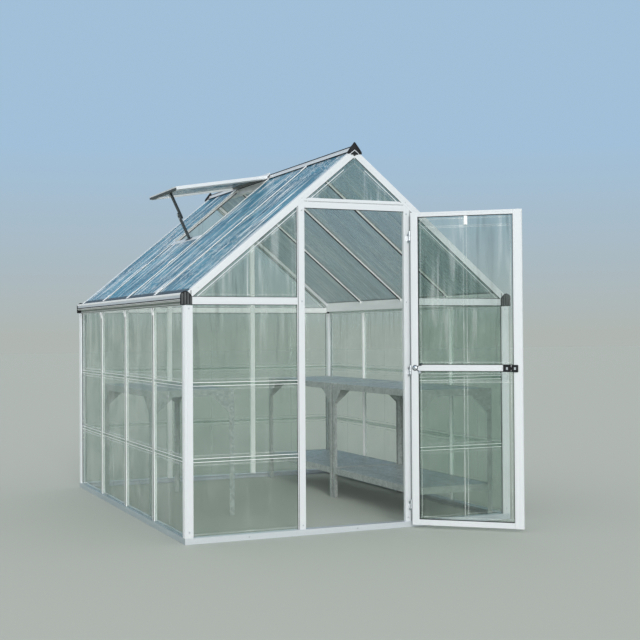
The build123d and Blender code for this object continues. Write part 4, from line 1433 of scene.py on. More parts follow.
    def ridge_caps(self) -> None:
        """The peaked black caps with chevron ribs."""
        use = self.finishes
        maker = MeshMaker("ribbed_ridge_caps", [use.plain(use.black), use.aluminium(Grain.SLOPE)])
        hood = [(0, 32), (2.5, 31.4), (12, 19), (22, 6.5), (41, -20), (41.6, -31), (30, -31), (0, -8)]
        inlay = [(0, -8), (20, -23.3), (20, -28.6), (0, -13.3)]
        heart = [(0, -13.3), (19, -27.8), (21, -34), (9, -34), (0, -42)]
        for y, out in ((0, -1), (self.layout.length, 1)):
            top = (0.0, y, self.layout.ridge_z)
            for slot, section, depth in ((0, hood, 0.0042), (1, inlay, 0.0034), (0, heart, 0.0050)):
                maker.extrude(mirrored(section), top, ACROSS, UP, *span("y", y, y + out * depth), slot)
            for drop in (6, 16):
                rib = [
                    (0.0, 32.0 - drop), (12.0, 18.4 - drop), (22.0, 5.9 - drop), (38.0, -15.8 - drop * 0.7),
                    (36.0, -16.2 - drop * 0.7), (21.0, 3.6 - drop), (11.0, 16.4 - drop), (0.0, 28.6 - drop)]
                maker.extrude(mirrored(rib), top, ACROSS, UP, *span("y", y + out * 0.004, y + out * 0.006))
        maker.finish(FRAME_BODY, "black_plastic", ("ridge_end_caps",))


@dataclass
class Eaves(Part):
    """Gutters with rolled lips and their ribbed end caps."""

    def build(self) -> None:
        """Build the gutters and caps."""
        for name, node, side in (
                ("lipped_gutter_left", "gutter_left", -1), ("lipped_gutter_right", "gutter_right", 1)):
            self.gutter(name, node, side)
        self.caps()

    def gutter(self, name: str, node: str, side: int) -> None:
        """Build one gutter.

        Args:
            name: The piece's name.
            node: The CAD node that it stands for.
            side: Which wall.
        """
        use = self.finishes
        maker = MeshMaker(name, [use.bright(Grain.LENGTHWISE), use.channel(), use.black_strip(),
                                 use.zinc_sheet(Grain.LENGTHWISE), use.plain(use.dark_metal)])
        upstand = (self.layout.roof(0.895, 0.007) * 1000, self.layout.roof(0.899, 0.007) * 1000)
        section = [
            (922, 1180), (924.4, 1180), (925, 1181), (925, 1186), (923.6, 1186.8), (923.6, 1189.2),
            (925, 1190), (925, 1203), (947, 1203), (949.4, 1204.4), (950, 1207), (950, 1211), (948, 1212.4),
            (946.8, 1214), (946.8, 1230), (948, 1231.6), (950, 1233), (950, 1241), (948.6, 1243),
            (946, 1243), (944.4, 1241), (944.4, 1208.6), (942.6, 1207), (899, 1207), (899.0, upstand[1]),
            (895.0, upstand[0]), (895, 1195), (922, 1195)]
        ends = span("y", 0.0, self.layout.length)
        maker.extrude(section, ORIGIN, (side, 0, 0), UP, *ends)
        # Painted shade on the gutter's face: a greyer zinc strip in the groove, a black line below it, and
        # dark grey-green strips on the lower bead and down the flange.
        for section, slot in (
                ([(946.8, 1216.6), (948.6, 1217.4), (948.6, 1229.6), (946.8, 1230)], 3),
                ([(948.8, 1204), (950.8, 1206.8), (950.8, 1208.6), (948, 1208.6)], 1),
                ([(925, 1190.6), (925.9, 1191.4), (925.9, 1201.4), (925, 1202.4)], 1),
                ([(925, 1181.6), (925.7, 1182.2), (925.7, 1187.2), (924.2, 1188)], 1),
                ([(946.8, 1212), (950.2, 1211.4), (950.6, 1213), (950.2, 1215.6), (946.8, 1216.4)], 2)):
            maker.extrude(section, ORIGIN, (side, 0, 0), UP, *ends, slot)
        # Painted shade: a dark strip at each roof sheet's lower end stands in for the shade inside the
        # gutter's trough.
        closure = [(895, 2.8), (895.6, 0.8), (912, 0.8), (914, 2.8), (914, 7.4), (911.6, 7.4), (911.6, 2.8)]
        up = -self.layout.under(side)
        for bay in self.layout.bay_spans(0.036, 0.016):
            rings = []
            for y in bay:
                rings.append([Vector((side * a / 1000, y, self.layout.roof(a / 1000))) - up * (b / 1000)
                              for a, b in closure])
            maker.loft(rings, 4)
        maker.finish(FRAME_BODY, "aluminium_frame", (node,))

    def caps(self) -> None:
        """The black end caps, each with four upright ribs in a lighter black, which is painted highlight."""
        use = self.finishes
        maker = MeshMaker("ribbed_gutter_caps", [use.plain(use.black), use.plain(use.highlight_ribbing)])
        plate = [(893, 1183.4), (951, 1183.4), (953, 1185.4), (953, 1234), (949, 1242), (937, 1250),
                 (926, 1253.6), (915, 1250), (903, 1240), (891.6, 1226), (891.6, 1184.8)]
        for side in (-1, 1):
            for y, out in ((0, -1), (self.layout.length, 1)):
                ends = span("y", y, y + out * 0.0036)
                maker.extrude(plate, ORIGIN, (side, 0, 0), UP, *ends)
                rib_ends = span("y", y + out * 0.0035, y + out * 0.006)
                for low, high, foot, head in (
                        (894.0, 902.0, 1187.0, 1225.0), (908.0, 917.0, 1187.0, 1244.0),
                        (923.0, 932.0, 1187.0, 1247.0), (938.0, 948.0, 1187.0, 1241.0)):
                    rib = [(low + 1.5, foot), (high - 1.5, foot), (high, foot + 1.5), (high, head - 1.5),
                           (high - 1.5, head), (low + 1.5, head), (low, head - 1.5), (low, foot + 1.5)]
                    maker.extrude(rib, ORIGIN, (side, 0, 0), UP, *rib_ends, 1)
        maker.finish(FRAME_BODY, "black_plastic", ("gutter_end_caps",))


@dataclass
class Sheets(Part):
    """The lines pressed into the clear sheets, and the strips that join them."""

    rim: float = 0.014
    bead: float = 0.0045
    height: float = 0.0012
    rows: Sequence[Pair] = ((0.030, 0.400), (0.420, 0.778), (0.798, 1.186))
    strip_levels: Pair = (0.410, 0.788)
    strip_inset: float = 0.012
    flute_pitch: float = 0.016
    flute_radius: float = 0.0009
    inset: float = 0.003
    corner_inset: float = 0.022
    stud_inset: float = 0.005
    post_inset: float = 0.006
    gable_out: float = 0.885
    gable_low: float = 1.212
    gable_line: float = 0.60
    gable_rims: Pair = (0.024, 0.026)
    header_line: float = 1.7135
    back_line: float = 1.2095
    roof_rim: float = 0.022
    roof_insets: Pair = (0.035, 0.015)
    flute_insets: Pair = (0.060, 0.048)
    line_top: float = 0.040
    line_top_at_window: float = 0.482
    line_foot: float = 0.905
    flute_top: float = 0.064
    flute_top_at_window: float = 0.505
    flute_foot: float = 0.880
    flute_sink: float = 0.0032

    def build(self) -> None:
        """Dress the sheets and add their pressed lines."""
        for node in ("front_wall_panels", "front_gable_panels", "back_wall_panels", "back_gable_panels",
                     "left_wall_panels", "right_wall_panels", "door_lower_pane", "door_upper_pane"):
            dress(node, self.finishes.wall())
        for node in ("roof_panels_left", "roof_panels_right", "vent_panel"):
            dress(node, self.finishes.roof())
        self.wall_lines()
        self.roof_lines()
        self.joint_strips()
        self.flutes()

    def bays(self) -> list[tuple[Vector, Vector, Vector]]:
        """Find every wall bay.

        Returns:
            The two ends of each bay's foot and its outward direction.
        """
        half, end = self.layout.half_width - self.inset, self.layout.length - self.inset
        post = self.layout.post_x + self.post_inset
        found = []
        for start, stop in self.layout.bay_spans(self.corner_inset, self.stud_inset):
            for side in (-1, 1):
                found.append((Vector((side * half, start, 0.0)), Vector((side * half, stop, 0.0)),
                             Vector((side, 0, 0))))
        edge = self.layout.half_width - self.corner_inset
        for y, way, spans in ((self.inset, -1.0, ((-edge, -post), (post, edge))),
                              (end, 1.0, ((-edge, -post), (-post + 0.010, post - 0.010), (post, edge)))):
            for start, stop in spans:
                found.append((Vector((start, y, 0.0)), Vector((stop, y, 0.0)), Vector((0, way, 0))))
        return found

    def wall_lines(self) -> None:
        """The rim and the middle line of every wall sheet, between its joint strips."""
        maker = MeshMaker("pressed_wall_lines", [self.finishes.pressed(Grain.UPRIGHT)])
        for start, stop, out in self.bays():
            middle = (start + stop) / 2
            for low, high in self.rows:
                outline = ((start, low), (stop, low), (stop, high), (start, high))
                corners = [point + Vector((0, 0, z)) for point, z in outline]
                maker.frame_bead(corners, out, self.rim, self.bead, self.height)
                if out.y > -0.5:
                    maker.line_bead(middle + Vector((0, 0, low + self.rim)),
                                    middle + Vector((0, 0, high - self.rim)), out, self.bead, self.height)
        self.gable_lines(maker)
        maker.finish(FRAME_BODY, "clear_polycarbonate")

    def gable_lines(self, maker: MeshMaker) -> None:
        """Add the rims and the middle lines of the gable sheets.

        Args:
            maker: The piece that gets them.
        """
        post, edge, line = self.layout.post_x + self.post_inset, self.gable_out, self.gable_line
        roof = self.layout.roof
        for y, way, low in ((self.inset, -1.0, self.header_line),
                            (self.layout.length - self.inset, 1.0, self.back_line)):
            out = Vector((0, way, 0))
            for side in (-1, 1):
                outline = ((post, self.gable_low), (edge, self.gable_low),
                           (edge, roof(edge, RAFTER_DEPTH)), (post, roof(post, RAFTER_DEPTH)))
                corners = [Vector((side * x, y, z)) for x, z in outline]
                maker.frame_bead(corners, out, self.gable_rims[0], self.bead, self.height)
                maker.line_bead(Vector((side * line, y, 1.24)), Vector((side * line, y, roof(line, 0.064))),
                                out, self.bead, self.height)
            inner = post - 0.010 if way > 0 else post - 0.030
            high = roof(inner, RAFTER_DEPTH)
            outline = ((inner, low), (inner, high), (0.0, roof(0.0, RAFTER_DEPTH)), (-inner, high),
                       (-inner, low))
            corners = [Vector((x, y, z)) for x, z in outline]
            maker.frame_bead(corners, out, self.gable_rims[1], self.bead, self.height)

    def roof_lines(self) -> None:
        """The rim, the middle line and the cross line of every roof sheet."""
        maker = MeshMaker("pressed_roof_lines", [self.finishes.pressed(Grain.SLOPE)])
        for side in (-1, 1):
            up = -self.layout.under(side)
            face = self.layout.under(side) * self.inset
            for index, (start, stop) in enumerate(self.layout.bay_spans(*self.roof_insets)):
                windowed = side < 0 and index == self.layout.window_bay
                top = self.line_top_at_window if windowed else self.line_top
                outline = ((top, start), (top, stop), (self.line_foot, stop), (self.line_foot, start))
                corners = [Vector((side * out, y, self.layout.roof(out))) + face for out, y in outline]
                maker.frame_bead(corners, up, self.roof_rim, self.bead, self.height)
                y = (start + stop) / 2
                ends = [Vector((side * out, y, self.layout.roof(out))) + face for out in (top + 0.02, 0.89)]
                maker.line_bead(*ends, up, self.bead, self.height)
        maker.finish(FRAME_BODY, "clear_polycarbonate")

    def flute_tree(self) -> Tree:
        """Build the node tree that sets fine round ribs side by side down a slope.

        Returns:
            The tree, with the inputs Top, Bottom, Span, Pitch and Radius.
        """
        tree, start, end = geometry_tree(
            "fine_roof_flutes", {"Top": "Vector", "Bottom": "Vector", "Span": "Float", "Pitch": "Float",
            "Radius": "Float"})
        path = add_node(
            tree, "GeometryNodeCurvePrimitiveLine", Start=start.outputs["Top"], End=start.outputs["Bottom"])
        ring = add_node(
            tree, "GeometryNodeCurvePrimitiveCircle", Resolution=6, Radius=start.outputs["Radius"])
        rib = add_node(tree, "GeometryNodeCurveToMesh", Curve=path.outputs[0],
                       Profile_Curve=ring.outputs[0], Fill_Caps=True)
        number = calculate(
            tree, "FLOOR", calculate(tree, "DIVIDE", start.outputs["Span"], start.outputs["Pitch"]))
        offset = add_node(tree, "ShaderNodeCombineXYZ", Y=start.outputs["Pitch"])
        row = add_node(tree, "GeometryNodeMeshLine", Count=calculate(tree, "ADD", number, 1.0),
                       Start_Location=ORIGIN, Offset=offset.outputs[0])
        placed = add_node(
            tree, "GeometryNodeInstanceOnPoints", Points=row.outputs[0], Instance=rib.outputs[0])
        real = add_node(tree, "GeometryNodeRealizeInstances", Geometry=placed.outputs[0])
        painted = add_node(
            tree, "GeometryNodeSetMaterial", Geometry=real.outputs[0],
            Material=self.finishes.pressed(Grain.SLOPE))
        tree.links.new(painted.outputs[0], end.inputs[0])
        return tree

    def flutes(self) -> None:
        """The fine flutes that run down every roof sheet, on its upper face."""
        tree = self.flute_tree()
        maker = MeshMaker("fine_roof_flutes", [self.finishes.pressed(Grain.SLOPE)])
        for side in (-1, 1):
            face = self.layout.under(side) * self.flute_sink
            for index, (low, high) in enumerate(self.layout.bay_spans(*self.flute_insets)):
                windowed = side < 0 and index == self.layout.window_bay
                top = self.flute_top_at_window if windowed else self.flute_top
                ends = [Vector((side * out, low, self.layout.roof(out))) + face
                        for out in (top, self.flute_foot)]
                values = {"Top": ends[0], "Bottom": ends[1], "Span": high - low,
                          "Pitch": self.flute_pitch, "Radius": self.flute_radius}
                maker.mesh.from_mesh(grow(tree, values))
        maker.finish(FRAME_BODY, "clear_polycarbonate")

    def joint_strips(self) -> None:
        """The strips over the joints between the wall sheets: a clear band between two bright beads of the
        paler aluminium, which is painted light.
        """
        maker = MeshMaker("beaded_joint_strips", [self.finishes.bright(Grain.ACROSS), self.finishes.wall()])
        band = [(-9, -0.1), (9, -0.1), (9, 0.9), (-9, 0.9)]
        for start, stop, out in self.bays():
            axis = 0 if abs((stop - start).normalized().x) > 0.5 else 1
            ends = span("xy"[axis], start[axis] + self.strip_inset, stop[axis] - self.strip_inset)
            for level in self.strip_levels:
                origin = (start.x, start.y, level)
                maker.extrude(band, origin, UP, out, *ends, 1)
                for way in (-1, 1):
                    bead = [(way * 7.0, 0.8), (way * 7.4, 2.2), (way * 9.4, 2.2), (way * 10.0, 1.6),
                            (way * 10.0, -0.1), (way * 7.0, -0.1)]
                    maker.extrude(bead, origin, UP, out, *ends)
        maker.finish(FRAME_BODY, "aluminium_frame", ("panel_joint_strips",))


@dataclass
class RoofWindow(Part):
    """The roof window's frame trims, its two-part arm and its sill."""

    hinge_out: float = 0.028
    hinge_rise: float = 0.005
    drop: float = math.radians(9.2)
    reach: float = 0.590
    depth: float = 0.018
    arm_inset: float = 0.018
    arm_foot: float = 0.458
    arm_half: float = 0.0150
    arm_thick: float = 0.0055
    arm_soft: float = 0.0014

    def place(self, along: float, up: float, y: float) -> Vector:
        """Find a point of the open window.

        Args:
            along: Its distance from the hinge edge.
            up: Its height above the window's top.
            y: Its place along the ridge.

        Returns:
            The point.
        """
        out = self.hinge_out + along * math.cos(self.drop) + up * math.sin(self.drop)
        z = self.layout.ridge_z + self.hinge_rise - along * math.sin(self.drop) + up * math.cos(self.drop)
        return Vector((-out, y, z))

    def build(self) -> None:
        """Dress the window's nodes and add its trims and arm."""
        dress("vent_side_rails", self.finishes.aluminium(Grain.ACROSS))
        # The end rails get the dark olive grey: painted shade.
        dress("vent_end_rails", self.finishes.plain(self.finishes.shaded_edge))
        for node in ("vent_hinge", "vent_sill"):
            dress(node, self.finishes.aluminium(Grain.LENGTHWISE))
        self.trims()
        self.arm()

    def bar(self, maker: MeshMaker, along: Pair, up: Pair, across: Pair, slot: int = 0) -> None:
        """Add a straight bar in the window's own directions.

        Args:
            maker: The piece that gets it.
            along: Its start and end from the hinge edge.
            up: Its lowest and highest side above the window's top.
            across: Its two ends along the ridge.
            slot: The number of the material.
        """
        outline = ((along[0], up[0]), (along[1], up[0]), (along[1], up[1]), (along[0], up[1]))
        maker.loft([[self.place(a, u, y) for a, u in outline] for y in across], slot)

    def trims(self) -> None:
        """The lower lips, and on the free side a dark strip, which is painted shade, under a lighter lip."""
        use = self.finishes
        maker = MeshMaker("window_trims", [use.aluminium(Grain.ACROSS), use.plain(use.dark_metal)])
        low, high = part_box("vent_side_rails")
        front, back = low[1], high[1]
        for y, way in ((front, 1), (back, -1)):
            self.bar(maker, (0.004, self.reach - 0.002), (-self.depth - 0.005, -self.depth + 0.0004),
                     (y + way * 0.024, y + way * 0.0265))
            self.bar(
                maker, (0.001, self.reach - 0.001), (-0.0002, 0.0016), (y + way * 0.003, y + way * 0.009))
        # Painted shade: the dark strip along the free side's edge.
        self.bar(maker, (self.reach - 0.0002, self.reach + 0.0016), (-self.depth + 0.0005, -0.0065),
                 (front + 0.001, back - 0.001), 1)
        self.bar(maker, (self.reach - 0.001, self.reach + 0.0024), (-0.0060, 0.0012),
                 (front + 0.001, back - 0.001))
        maker.finish(FRAME_BODY, "aluminium_frame")

    def arm_line(self, y: float) -> tuple[Vector, Vector, Vector, Vector]:
        """Find where the arm runs.

        Args:
            y: Its place along the ridge.

        Returns:
            Its top, its foot, the direction down it and the direction of its thickness.
        """
        top = self.place(self.reach - self.arm_inset, -self.depth, y)
        foot = Vector((-self.arm_foot, y, self.layout.roof(self.arm_foot)))
        way = (foot - top).normalized()
        return top, foot, way, Vector(BACK).cross(way).normalized()

    def arm(self) -> None:
        """The folding arm: two flat bars lapped at a pinned joint, on a dark foot plate."""
        use = self.finishes
        maker = MeshMaker("folding_arm", [use.plain(use.dark_metal), use.plain(use.zinc)])
        low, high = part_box("vent_arm")
        y = (low[1] + high[1]) / 2
        top, foot, way, side = self.arm_line(y)
        joint = top.lerp(foot, 0.50)
        for start, stop, shift in (
                (top - way * 0.001, joint + way * 0.022, -self.arm_thick),
                (joint - way * 0.022, foot - way * 0.004, self.arm_thick)):
            self.flat_bar(maker, start, stop, side, shift)
        for at in (joint - way * 0.013, joint + way * 0.013):
            self.pin(maker, at, 0.0078, 0.025)
        self.pin(maker, top + way * 0.014, 0.0074, 0.022)
        down, up = self.layout.down(-1), -self.layout.under(-1)
        plate = ((-0.012, -0.0002), (0.012, -0.0002), (0.012, 0.0034), (0.010, 0.0040), (-0.010, 0.0040),
                 (-0.012, 0.0034))
        rings = []
        for shift in (y - 0.020, y + 0.070):
            base = Vector((foot.x, shift, foot.z))
            rings.append([base + down * across + up * rise for across, rise in plate])
        maker.loft(rings)
        maker.finish(FRAME_BODY, "dark_grey_metal", ("vent_arm",))

    def flat_bar(self, maker: MeshMaker, start: Vector, stop: Vector, side: Vector, shift: float) -> None:
        """Add one round-ended bar of the arm, with chamfered edges.

        Args:
            maker: The piece that gets it.
            start: The middle of one end.
            stop: The middle of the other end.
            side: The direction of the bar's thickness.
            shift: How far the bar lies from the arm's middle plane.
        """
        way = (stop - start).normalized()
        wide = Vector(BACK)
        half, thick, soft = self.arm_half, self.arm_thick, self.arm_soft
        rings = []
        for depth, size in (
                (-thick, half - soft), (-thick + soft, half), (thick - soft, half), (thick, half - soft)):
            ring = []
            for end, turn in ((start + way * half, math.pi), (stop - way * half, 0.0)):
                for step in range(7):
                    angle = turn - math.pi / 2 + math.pi * step / 6
                    round_part = way * (size * math.cos(angle)) + wide * (size * math.sin(angle))
                    ring.append(end + round_part + side * (shift + depth))
            rings.append(ring)
        maker.loft(rings)

    def pin(self, maker: MeshMaker, at: Vector, radius: float, length: float) -> None:
        """Add a round pin through the arm.

        Args:
            maker: The piece that gets it.
            at: Its middle.
            radius: Its radius.
            length: Its length along the arm's thickness.
        """
        _, _, way, side = self.arm_line(at.y)
        back = Vector(BACK)
        rings = []
        for shift, share in (
                (-length / 2, 0.8), (-length / 2 + 0.001, 1.0), (length / 2 - 0.001, 1.0), (length / 2, 0.8)):
            rings.append([at + side * shift + (way * math.cos(a) + back * math.sin(a)) * radius * share
                          for a in angles(12)])
        maker.loft(rings, 1)


@dataclass
class Door(Part):
    """The open door leaf: grooved stiles and rails, seals, pressed lines, latch and hinges."""

    open_angle: float = DOOR_ANGLE
    pin: Point = (0.308333, -0.028, 0.0)
    left: float = -0.295333
    right: float = 0.300333
    front: float = -0.038
    back: float = -0.018
    low: float = 0.016
    high: float = 1.679
    stile: float = 0.048
    hinge_stile: float = 0.038
    foot_rail: float = 0.030
    middle_rail: Pair = (0.834, 0.866)
    head_rail: float = 0.024

    def depth(self) -> float:
        """The leaf's thickness in millimetres."""
        return (self.back - self.front) * 1000

    def seals(self, edge: float, way: int) -> list[Outline]:
        """The two seal sections beside an edge, near the leaf's two faces."""
        return [[(edge, b), (edge + way * 2.6, b + 0.7), (edge + way * 2.6, b + 2.0), (edge, b + 2.6)]
                for b in (1.6, self.depth() - 4.2)]

    def swing(self) -> Matrix:
        """The turn from closed to open about the hinge pins.

        Returns:
            The turn as a matrix.
        """
        pin = Vector(self.pin)
        turn = Matrix.Rotation(self.open_angle, 4, "Z")
        return Matrix.Translation(pin) @ turn @ Matrix.Translation(-pin)

    def build(self) -> None:
        """Build the leaf as closed and swing it open."""
        self.stiles()
        self.rails()
        self.lines()
        self.fittings()
        self.latch()
        for node in ("door_hinge_knuckles", "post_hinges"):
            dress(node, self.finishes.plain(self.finishes.zinc))

    def stiles(self) -> None:
        """The two stiles with grooved faces."""
        maker = self.sealed("grooved_door_stiles", Grain.UPRIGHT)
        ends = span("z", self.low, self.high)
        depth = self.depth()
        for x, inward, width in (
                (self.left, 1, self.stile * 1000), (self.right, -1, self.hinge_stile * 1000)):
            near = [
                (0, 0.8), (0.8, 0), (4, 0), (4.8, 1.4), (7.4, 1.4), (8.2, 0), (width - 9.0, 0.0),
                (width - 8.4, 0.9), (width - 6.6, 0.9), (width - 6.0, 0.0), (width - 2.6, 0.0), (width, 1.6)]
            section = near + [(a, depth - b) for a, b in reversed(near)]
            maker.extrude(section, (x, self.front, 0.0), (inward, 0, 0), BACK, *ends)
            for black_strip in self.seals(width, 1):
                maker.extrude(black_strip, (x, self.front, 0.0), (inward, 0, 0), BACK,
                              *span("z", self.low + self.foot_rail, self.high - self.head_rail), 1)
        maker.turn(self.swing())
        maker.finish(DOOR_BODY, "aluminium_frame", ("door_stiles",))

    def rails(self) -> None:
        """The top, middle and bottom rails with grooved faces."""
        maker = self.sealed("grooved_door_rails", Grain.LEAF)
        ends = span("x", self.left + self.stile, self.right - self.hinge_stile)
        depth = self.depth()
        for low, high in ((self.low, self.low + self.foot_rail), self.middle_rail,
                          (self.high - self.head_rail, self.high)):
            tall = (high - low) * 1000
            mid = tall / 2
            near = [(0, 0.8), (0.8, 0), (mid - 2.2, 0.0), (mid - 1.4, 1.3), (mid + 1.4, 1.3),
                    (mid + 2.2, 0.0), (tall - 0.8, 0.0), (tall, 0.8)]
            section = near + [(a, depth - b) for a, b in reversed(near)]
            maker.extrude(section, (0.0, self.front, low), UP, BACK, *ends)
            for edge, way, used in ((0.0, -1, low > self.low), (tall, 1, high < self.high)):
                for black_strip in self.seals(edge, way) if used else ():
                    maker.extrude(black_strip, (0.0, self.front, low), UP, BACK, *ends, 1)
        maker.turn(self.swing())
        maker.finish(DOOR_BODY, "aluminium_frame", ("door_rails",))

    def lines(self) -> None:
        """The pressed lines of the two panes, on both faces."""
        maker = MeshMaker("pressed_door_lines", [self.finishes.pressed(Grain.UPRIGHT)])
        x0, x1 = self.left + self.stile, self.right - self.hinge_stile
        middle = (x0 + x1) / 2
        y = (self.front + self.back) / 2
        for low, high in ((self.low + self.foot_rail, self.middle_rail[0]),
                          (self.middle_rail[1], self.high - self.head_rail)):
            for face in (-1, 1):
                out = Vector((0.0, face, 0.0))
                plane = y + face * 0.0015
                corners = [Vector((x, plane, z)) for x, z in ((x0, low), (x1, low), (x1, high), (x0, high))]
                maker.frame_bead(corners, out, 0.014, 0.004, 0.0011)
                for shift in (-0.009, 0.009):
                    maker.line_bead(Vector((middle + shift, plane, low + 0.020)),
                                    Vector((middle + shift, plane, high - 0.020)), out, 0.0036, 0.0011)
                for drop in (0.052, 0.060):
                    maker.line_bead(Vector((x0 + 0.020, plane, high - drop)),
                                    Vector((x1 - 0.020, plane, high - drop)), out, 0.0034, 0.001)
        maker.turn(self.swing())
        maker.finish(DOOR_BODY, "clear_polycarbonate")

    def fittings(self) -> None:
        """The tab under the top rail and the hooked catch with its round knob on the hinge side."""
        use = self.finishes
        maker = MeshMaker(
            "leaf_fittings", [use.bright(Grain.UPRIGHT), use.plain(use.zinc), use.plain(use.dark_metal)])
        middle = (self.left + self.right) / 2
        top = self.high - 0.022
        maker.block((middle - 0.010, self.back - 0.009, top - 0.052),
                    (middle + 0.010, self.back - 0.002, top), 0, 0.003)
        edge = self.right - self.hinge_stile * 0.55
        for near, out in ((self.front, -1), (self.back, 1)):
            for x, z, radius, depth, slot in (
                    (edge, 0.850, 0.015, 0.003, 2), (edge, 0.850, 0.011, 0.006, 1),
                    (edge - 0.030, 0.868, 0.007, 0.004, 2), (edge - 0.024, 0.826, 0.007, 0.004, 1)):
                rings = []
                for y, share in (
                        (near, 1.0), (near + out * depth, 1.0), (near + out * (depth + 0.001), 0.75)):
                    size = radius * share
                    rings.append([Vector((x + size * math.cos(a), y, z + size * math.sin(a)))
                                  for a in angles(16)])
                maker.loft(rings, slot)
            for start, stop in (
                    ((edge, 0.850), (edge - 0.030, 0.868)), ((edge, 0.850), (edge - 0.024, 0.826))):
                maker.line_bead(Vector((start[0], near, start[1])), Vector((stop[0], near, stop[1])),
                                Vector((0, out, 0)), 0.005, 0.0035, 2)
        maker.turn(self.swing())
        maker.finish(DOOR_BODY, "aluminium_frame")

    def latch(self) -> None:
        """The latch: on each face a square block on the stile and one beside it, each with a light recess."""
        use = self.finishes
        maker = MeshMaker("square_latch_blocks", [use.plain(use.black), use.plain(use.zinc)])
        edge = self.left + self.stile
        blocks = (
            ((-0.024, 0.010), (0.829, 0.867), (0.0, 0.010), 0, 0.0022),
            ((0.014, 0.054), (0.830, 0.868), (0.004, 0.010), 0, 0.0022),
            ((0.008, 0.016), (0.841, 0.855), (0.0065, 0.0095), 0, 0.0008),
            ((-0.013, -0.003), (0.841, 0.855), (0.0098, 0.0106), 1, 0.0003),
            ((0.029, 0.039), (0.841, 0.855), (0.0098, 0.0106), 1, 0.0003))
        for near, out in ((self.front, -1), (self.back, 1)):
            for across, heights, depths, slot, soft in blocks:
                x0, x1 = (edge + shift for shift in across)
                y0, y1 = sorted(near + out * depth for depth in depths)
                maker.block((x0, y0, heights[0]), (x1, y1, heights[1]), slot, soft)
        maker.turn(self.swing())
        maker.finish(DOOR_BODY, "black_plastic", ("door_handle",))


@dataclass
class Stands(Part):
    """The plant stands: galvanised legs and trays, gusset plates and folded rims."""

    leg: float = 0.030
    top: float = 0.720
    lower_tray: float = 0.185
    tray_edge: float = 0.036
    gusset: float = 0.095

    def build(self) -> None:
        """Dress the stands and add their gussets and rims."""
        for node in ("left_stand_legs", "left_stand_shelves", "right_stand_legs", "right_stand_shelves"):
            dress(node, self.finishes.plain(self.finishes.steel))
        self.details("left_stand_gussets", -1, (self.top,))
        self.details("right_stand_gussets", 1, (self.top, self.lower_tray))

    def details(self, name: str, side: int, levels: tuple[float, ...]) -> None:
        """Add the gusset plates and the tray rims of one wall's stands.

        Args:
            name: The piece's name.
            side: Which wall.
            levels: The heights of its trays.
        """
        maker = MeshMaker(name, [self.finishes.plain(self.finishes.steel)])
        for start, stop in STAND_SPANS[side]:
            for level in levels:
                self.rims(maker, side, start, stop, level)
            for y, way in ((start, 1), (stop, -1)):
                for x, inward in ((side * STAND_WALL, -side), (side * STAND_AISLE, side)):
                    self.gussets(maker, Vector((x, y, self.top)), inward, way)
        maker.finish(FRAME_BODY, "galvanised_steel")

    def gussets(self, maker: MeshMaker, corner: Vector, x_way: int, y_way: int) -> None:
        """Add two triangular plates at one corner of the upper tray.

        Args:
            maker: The piece that gets them.
            corner: The leg's outer top corner.
            x_way: The direction across, into the stand.
            y_way: The direction lengthwise, into the stand.
        """
        low = -self.tray_edge + 0.002
        reach = self.gusset + self.leg
        shape = [(self.leg * 0.2, low), (reach, low), (reach, low - 0.010),
                 (self.leg + 0.004, low - self.gusset), (self.leg * 0.2, low - self.gusset)]
        for across, thick in ((Vector((x_way, 0, 0)), Vector((0, -y_way, 0))),
                              (Vector((0, y_way, 0)), Vector((-x_way, 0, 0)))):
            rings = []
            for depth in (0.0001, 0.0016):
                rings.append([corner + across * a + Vector((0, 0, b)) + thick * depth for a, b in shape])
            maker.loft(rings)

    def rims(self, maker: MeshMaker, side: int, start: float, stop: float, level: float) -> None:
        """Add the raised lines pressed into a tray's top.

        Args:
            maker: The piece that gets them.
            side: Which wall.
            start: The stand's front end.
            stop: Its back end.
            level: The tray's top.
        """
        up = Vector(UP)
        outline = ((STAND_AISLE, start), (STAND_WALL, start), (STAND_WALL, stop), (STAND_AISLE, stop))
        corners = [Vector((side * x, y, level)) for x, y in outline]
        maker.frame_bead(corners, up, 0.010, 0.006, 0.0022)
        for share in (0.25, 0.5, 0.75):
            x = side * (STAND_AISLE + (STAND_WALL - STAND_AISLE) * share)
            maker.line_bead(
                Vector((x, start + 0.03, level)), Vector((x, stop - 0.03, level)), up, 0.010, 0.0018)


